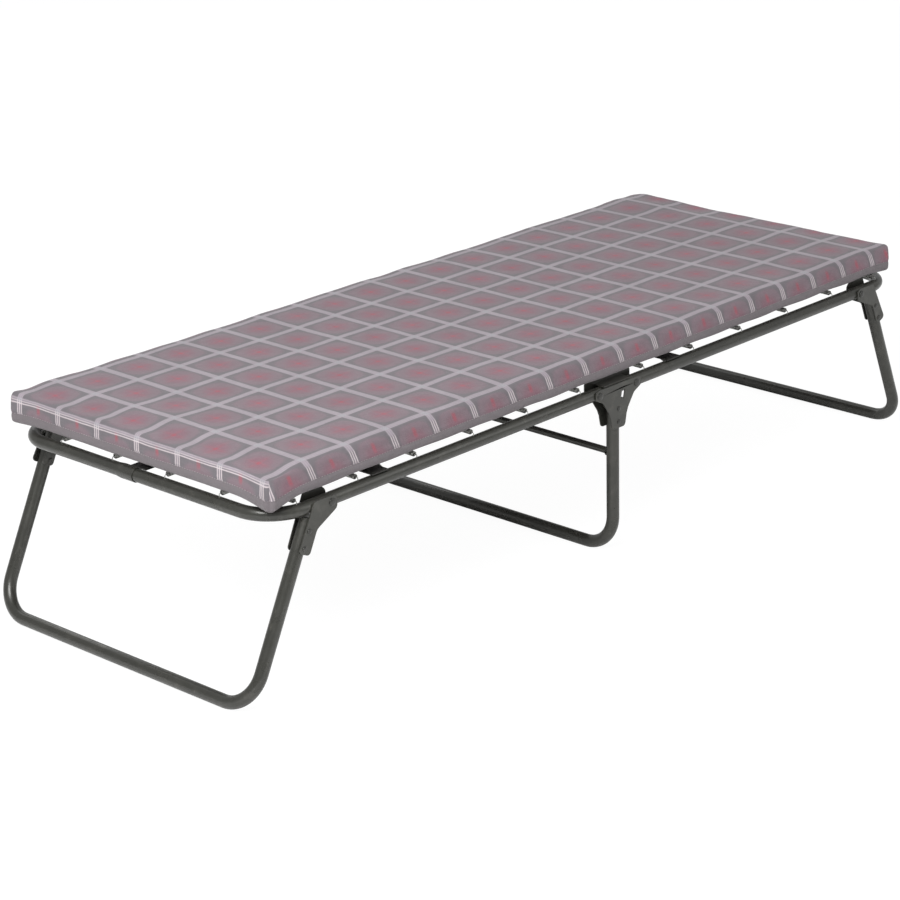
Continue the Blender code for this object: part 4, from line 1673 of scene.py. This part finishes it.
    def slumped(
        self, place: np.ndarray, drop: np.ndarray, to_end: np.ndarray, to_side: np.ndarray
    ) -> np.ndarray:
        """How far the top's waves and the hollow along each end lift the cloth.

        Args:
            place: the vertices' places.
            drop: how far down from the top edge each lies.
            to_end: how far each lies from the nearer end.
            to_side: how far each lies from the nearer side.

        Returns:
            One distance for each vertex.
        """
        broad = noise_at(place, 5.2, 4.0)
        ripple = noise_at(place * np.array((1.0, 0.55, 1.0)), 13.0, 9.0)
        rim = self.top_rim.at(np.minimum(to_end, to_side)) + self.end_rim.at(to_end)
        waves = 0.0016 * broad + 0.0017 * ripple * (0.35 + rim)
        toward_head = np.where(place[:, 0] < 0, 1.0, self.foot_share)
        hollow = toward_head * (self.end_valley.at(to_end) + self.end_crest.at(to_end))
        return smooth((0.004 - drop) / 0.010) * (waves + hollow)

    def rested(self, place: np.ndarray, drop: np.ndarray, to_edge: np.ndarray) -> np.ndarray:
        """How far the underside's edge lifts, most of all between the deck's springs.

        Args:
            place: the vertices' places.
            drop: how far down from the top edge each lies.
            to_edge: how far each lies from the nearest edge.

        Returns:
            One distance for each vertex.
        """
        under = smooth((drop - self.depth + self.under_depth) / self.under_depth)
        along = np.abs(place[:, 0]) - self.spring_place
        scallop = np.cos(2 * math.pi * along / self.spring_pitch)
        rise = 0.0010 + 0.0009 * scallop + 0.0008 * noise_at(place, 12.0, 7.0)
        return under * self.under_edge.at(to_edge) * rise

    def sagged(self, place: np.ndarray, drop: np.ndarray) -> np.ndarray:
        """How far the four corners sag.

        Args:
            place: the vertices' places.
            drop: how far down from the top edge each lies.

        Returns:
            One distance for each vertex.
        """
        fallen = np.zeros(len(place))
        for toward_x, toward_y, fall in self.sagging:
            off_x = place[:, 0] - toward_x * self.half_x
            off_y = place[:, 1] - toward_y * self.half_y
            fallen += fall * self.sag_reach.at(np.hypot(off_x, off_y))
        return fallen * (0.35 + 0.65 * smooth(drop / self.depth))

    @staticmethod
    def drop_of(mesh: Mesh) -> np.ndarray:
        """How far down from the top edge each vertex's cloth lies.

        Args:
            mesh: the pad's mesh.

        Returns:
            One distance in metres for each vertex.
        """
        loops = np.zeros(len(mesh.loops), np.int32)
        mesh.loops.foreach_get("vertex_index", loops)
        flat = np.zeros(len(mesh.loops) * 2)
        mesh.uv_layers["panel"].uv.foreach_get("vector", flat)
        drop = np.zeros(len(mesh.vertices))
        drop[loops] = flat.reshape(-1, 2)[:, 1]
        return drop

    def build(self) -> None:
        """Build the pad, cut it at the fold and sew both covers."""
        pad = self.blank()
        self.swell(pad)
        finer = pad.modifiers.new("finer", "SUBSURF")
        finer.levels = finer.render_levels = 1
        finer.boundary_smooth = "PRESERVE_CORNERS"
        finer.uv_smooth = "PRESERVE_CORNERS"
        baked(pad)
        self.settle(pad)
        for end in End:
            self.cover(pad, end)
        bpy.data.objects.remove(pad, do_unlink=True)

    def cover(self, pad: Object, end: End) -> None:
        """One half of the mattress: its share of the pad closed at the fold, and its side stitching.

        Args:
            pad: the whole pad.
            end: which half.
        """
        work = bmesh.new()
        work.from_mesh(pad.data)
        panel = work.loops.layers.uv["panel"]
        other = [f for f in work.faces if sum(loop[panel].uv.x for loop in f.loops) * end.value < 0]
        bmesh.ops.delete(work, geom=other, context="FACES")
        rim = [e for e in work.edges if e.is_boundary]
        for vert in {v for e in rim for v in e.verts}:
            vert.co.x = 0.0
        cap = bmesh.ops.holes_fill(work, edges=rim, sides=0)["faces"]
        bmesh.ops.triangulate(work, faces=cap)
        seam = self.seam_lines(work, panel)
        cover = finished(f"mattress_cover_{end.word}", work, self.shop.finishes.cloth, math.radians(70))
        nodes = [f"{end.word}_mattress"] + (["middle_mattress"] if end is End.HEAD else [])
        sizes = {"Pitch": self.stitch_pitch, "Length": self.stitch_length, "Radius": self.thread_radius}
        row = self.shop.recipes.stitches
        name = f"mattress_stitching_{end.word}"
        stitches = row.run(name, seam, Finish=self.shop.finishes.thread, **sizes)
        for item in (cover, stitches):
            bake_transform(item)
            LOG.info("%s bends from %s_half with %d faces", item.name, end.word, len(item.data.polygons))
        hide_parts(*nodes)

    def seam_lines(self, work: BMesh, panel: bmesh.types.BMLayerItem) -> Mesh:
        """The line of the side seam, just proud of the cloth.

        Args:
            work: a half of the pad.
            panel: its layer that holds the way down from the top.

        Returns:
            A mesh of edges along the seam.
        """
        work.normal_update()

        def on_seam(vert: bmesh.types.BMVert) -> bool:
            """Whether a vertex lies on the seam."""
            return all(abs(loop[panel].uv.y - self.seam_drop) < 0.0002 for loop in vert.link_loops)

        edges = [e for e in work.edges if on_seam(e.verts[0]) and on_seam(e.verts[1])]
        verts = sorted({v for e in edges for v in e.verts}, key=lambda v: v.index)
        index = {v: i for i, v in enumerate(verts)}
        mesh = bpy.data.meshes.new("seam_line")
        points = [tuple(v.co + v.normal * 0.0003) for v in verts]
        mesh.from_pydata(points, [tuple(index[v] for v in e.verts) for e in edges], [])
        return mesh


def positions(mesh: Mesh) -> np.ndarray:
    """The places of a mesh's vertices.

    Args:
        mesh: the mesh.

    Returns:
        One row for each vertex.
    """
    flat = np.zeros(len(mesh.vertices) * 3)
    mesh.vertices.foreach_get("co", flat)
    return flat.reshape(-1, 3)


def smooth(value: np.ndarray) -> np.ndarray:
    """A smooth step of each value from 0 to 1."""
    held = np.clip(value, 0.0, 1.0)
    return held * held * (3 - 2 * held)


def noise_at(place: np.ndarray, scale: float, seed: float) -> np.ndarray:
    """Smooth noise at each place.

    Args:
        place: one row for each point.
        scale: lumps to a metre.
        seed: which noise.

    Returns:
        One value from -1 to 1 for each point.
    """
    shift = Vector((seed * 7.31, seed * 3.17, seed * 5.93))
    return np.array([noise.noise(Vector(row) * scale + shift) for row in place.tolist()])


# ---------------------------------------------------------------------------
# Studio
# ---------------------------------------------------------------------------
@dataclass
class Studio:
    """A pale floor, soft lights and the camera."""

    finishes: Finishes
    stand: Vector = field(default_factory=lambda: Vector((-3.757, -3.496, 2.026)))
    look: Vector = field(default_factory=lambda: Vector((0.6846, 0.6406, -0.3478)))
    upward: Vector = field(default_factory=lambda: Vector((0.2684, 0.2221, 0.9373)))
    lens: float = 112.62
    shift: tuple[float, float] = (-0.029, 0.005)
    floor_half: float = 14.0
    surround: float = 0.46

    def build(self) -> None:
        """Build the whole studio."""
        self.floor()
        self.lights()
        self.camera()

    def floor(self) -> None:
        """The floor that the bed stands on."""
        work = bmesh.new()
        bmesh.ops.create_grid(work, x_segments=4, y_segments=4, size=self.floor_half)
        finished("studio_floor", work, self.finishes.floor, math.pi)

    def lights(self) -> None:
        """An even surround, a broad key from the upper left and a soft fill from the right."""
        scene = bpy.context.scene
        world = bpy.data.worlds.new("studio_surround")
        world.use_nodes = True
        tree = world.node_tree
        background = tree.nodes["Background"]
        background.inputs["Color"].default_value = (1.0, 1.0, 1.0, 1.0)
        seen = tree.nodes.new("ShaderNodeLightPath")
        strength = tree.nodes.new("ShaderNodeMapRange")
        strength.inputs["To Min"].default_value = self.surround
        strength.inputs["To Max"].default_value = 1.0
        tree.links.new(seen.outputs["Is Camera Ray"], strength.inputs["Value"])
        tree.links.new(strength.outputs["Result"], background.inputs["Strength"])
        scene.world = world
        scene.view_settings.view_transform = "Standard"
        self.panel("key_panel", Vector((-2.6, -1.2, 2.8)), Vector((0.0, 0.0, 0.2)), 1.8, 118.0)
        self.panel("fill_panel", Vector((1.8, -3.2, 2.2)), Vector((0.0, 0.0, 0.2)), 2.4, 22.0)
        self.panel("back_panel", Vector((0.5, 3.0, 2.6)), Vector((0.0, 0.0, 0.3)), 2.4, 22.0)

    def panel(self, name: str, place: Vector, target: Vector, size: float, power: float) -> None:
        """A square soft light aimed at a point.

        Args:
            name: its name.
            place: where it hangs.
            target: what it faces.
            size: its side.
            power: its power in watts.
        """
        data = bpy.data.lights.new(name, "AREA")
        data.energy = power
        data.size = size
        item = bpy.data.objects.new(name, data)
        aim = (target - place).to_track_quat("-Z", "Y").to_matrix().to_4x4()
        item.matrix_world = Matrix.Translation(place) @ aim
        bpy.context.scene.collection.objects.link(item)

    def camera(self) -> None:
        """The camera, above the bed's head and to its near side."""
        data = bpy.data.cameras.new("studio_camera")
        data.lens = self.lens
        data.shift_x, data.shift_y = self.shift
        data.clip_end = 60.0
        back = -self.look.normalized()
        right = self.upward.cross(back).normalized()
        up = back.cross(right)
        turn = Matrix((right, up, back)).transposed().to_4x4()
        item = bpy.data.objects.new("studio_camera", data)
        item.matrix_world = Matrix.Translation(self.stand) @ turn
        bpy.context.scene.collection.objects.link(item)
        bpy.context.scene.camera = item


def main() -> None:
    """Build the bed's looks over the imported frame."""
    logging.basicConfig(level=logging.INFO, format="%(name)s: %(message)s")
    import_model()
    shop = Hardware(Finishes(), Recipes())
    CentreStand(shop).build()
    for end in End:
        HalfBed(shop, end).build()
        EndLeg(shop, end).build()
    Mattress(shop).build()
    Studio(shop.finishes).build()


if __name__ == "__main__":
    main()
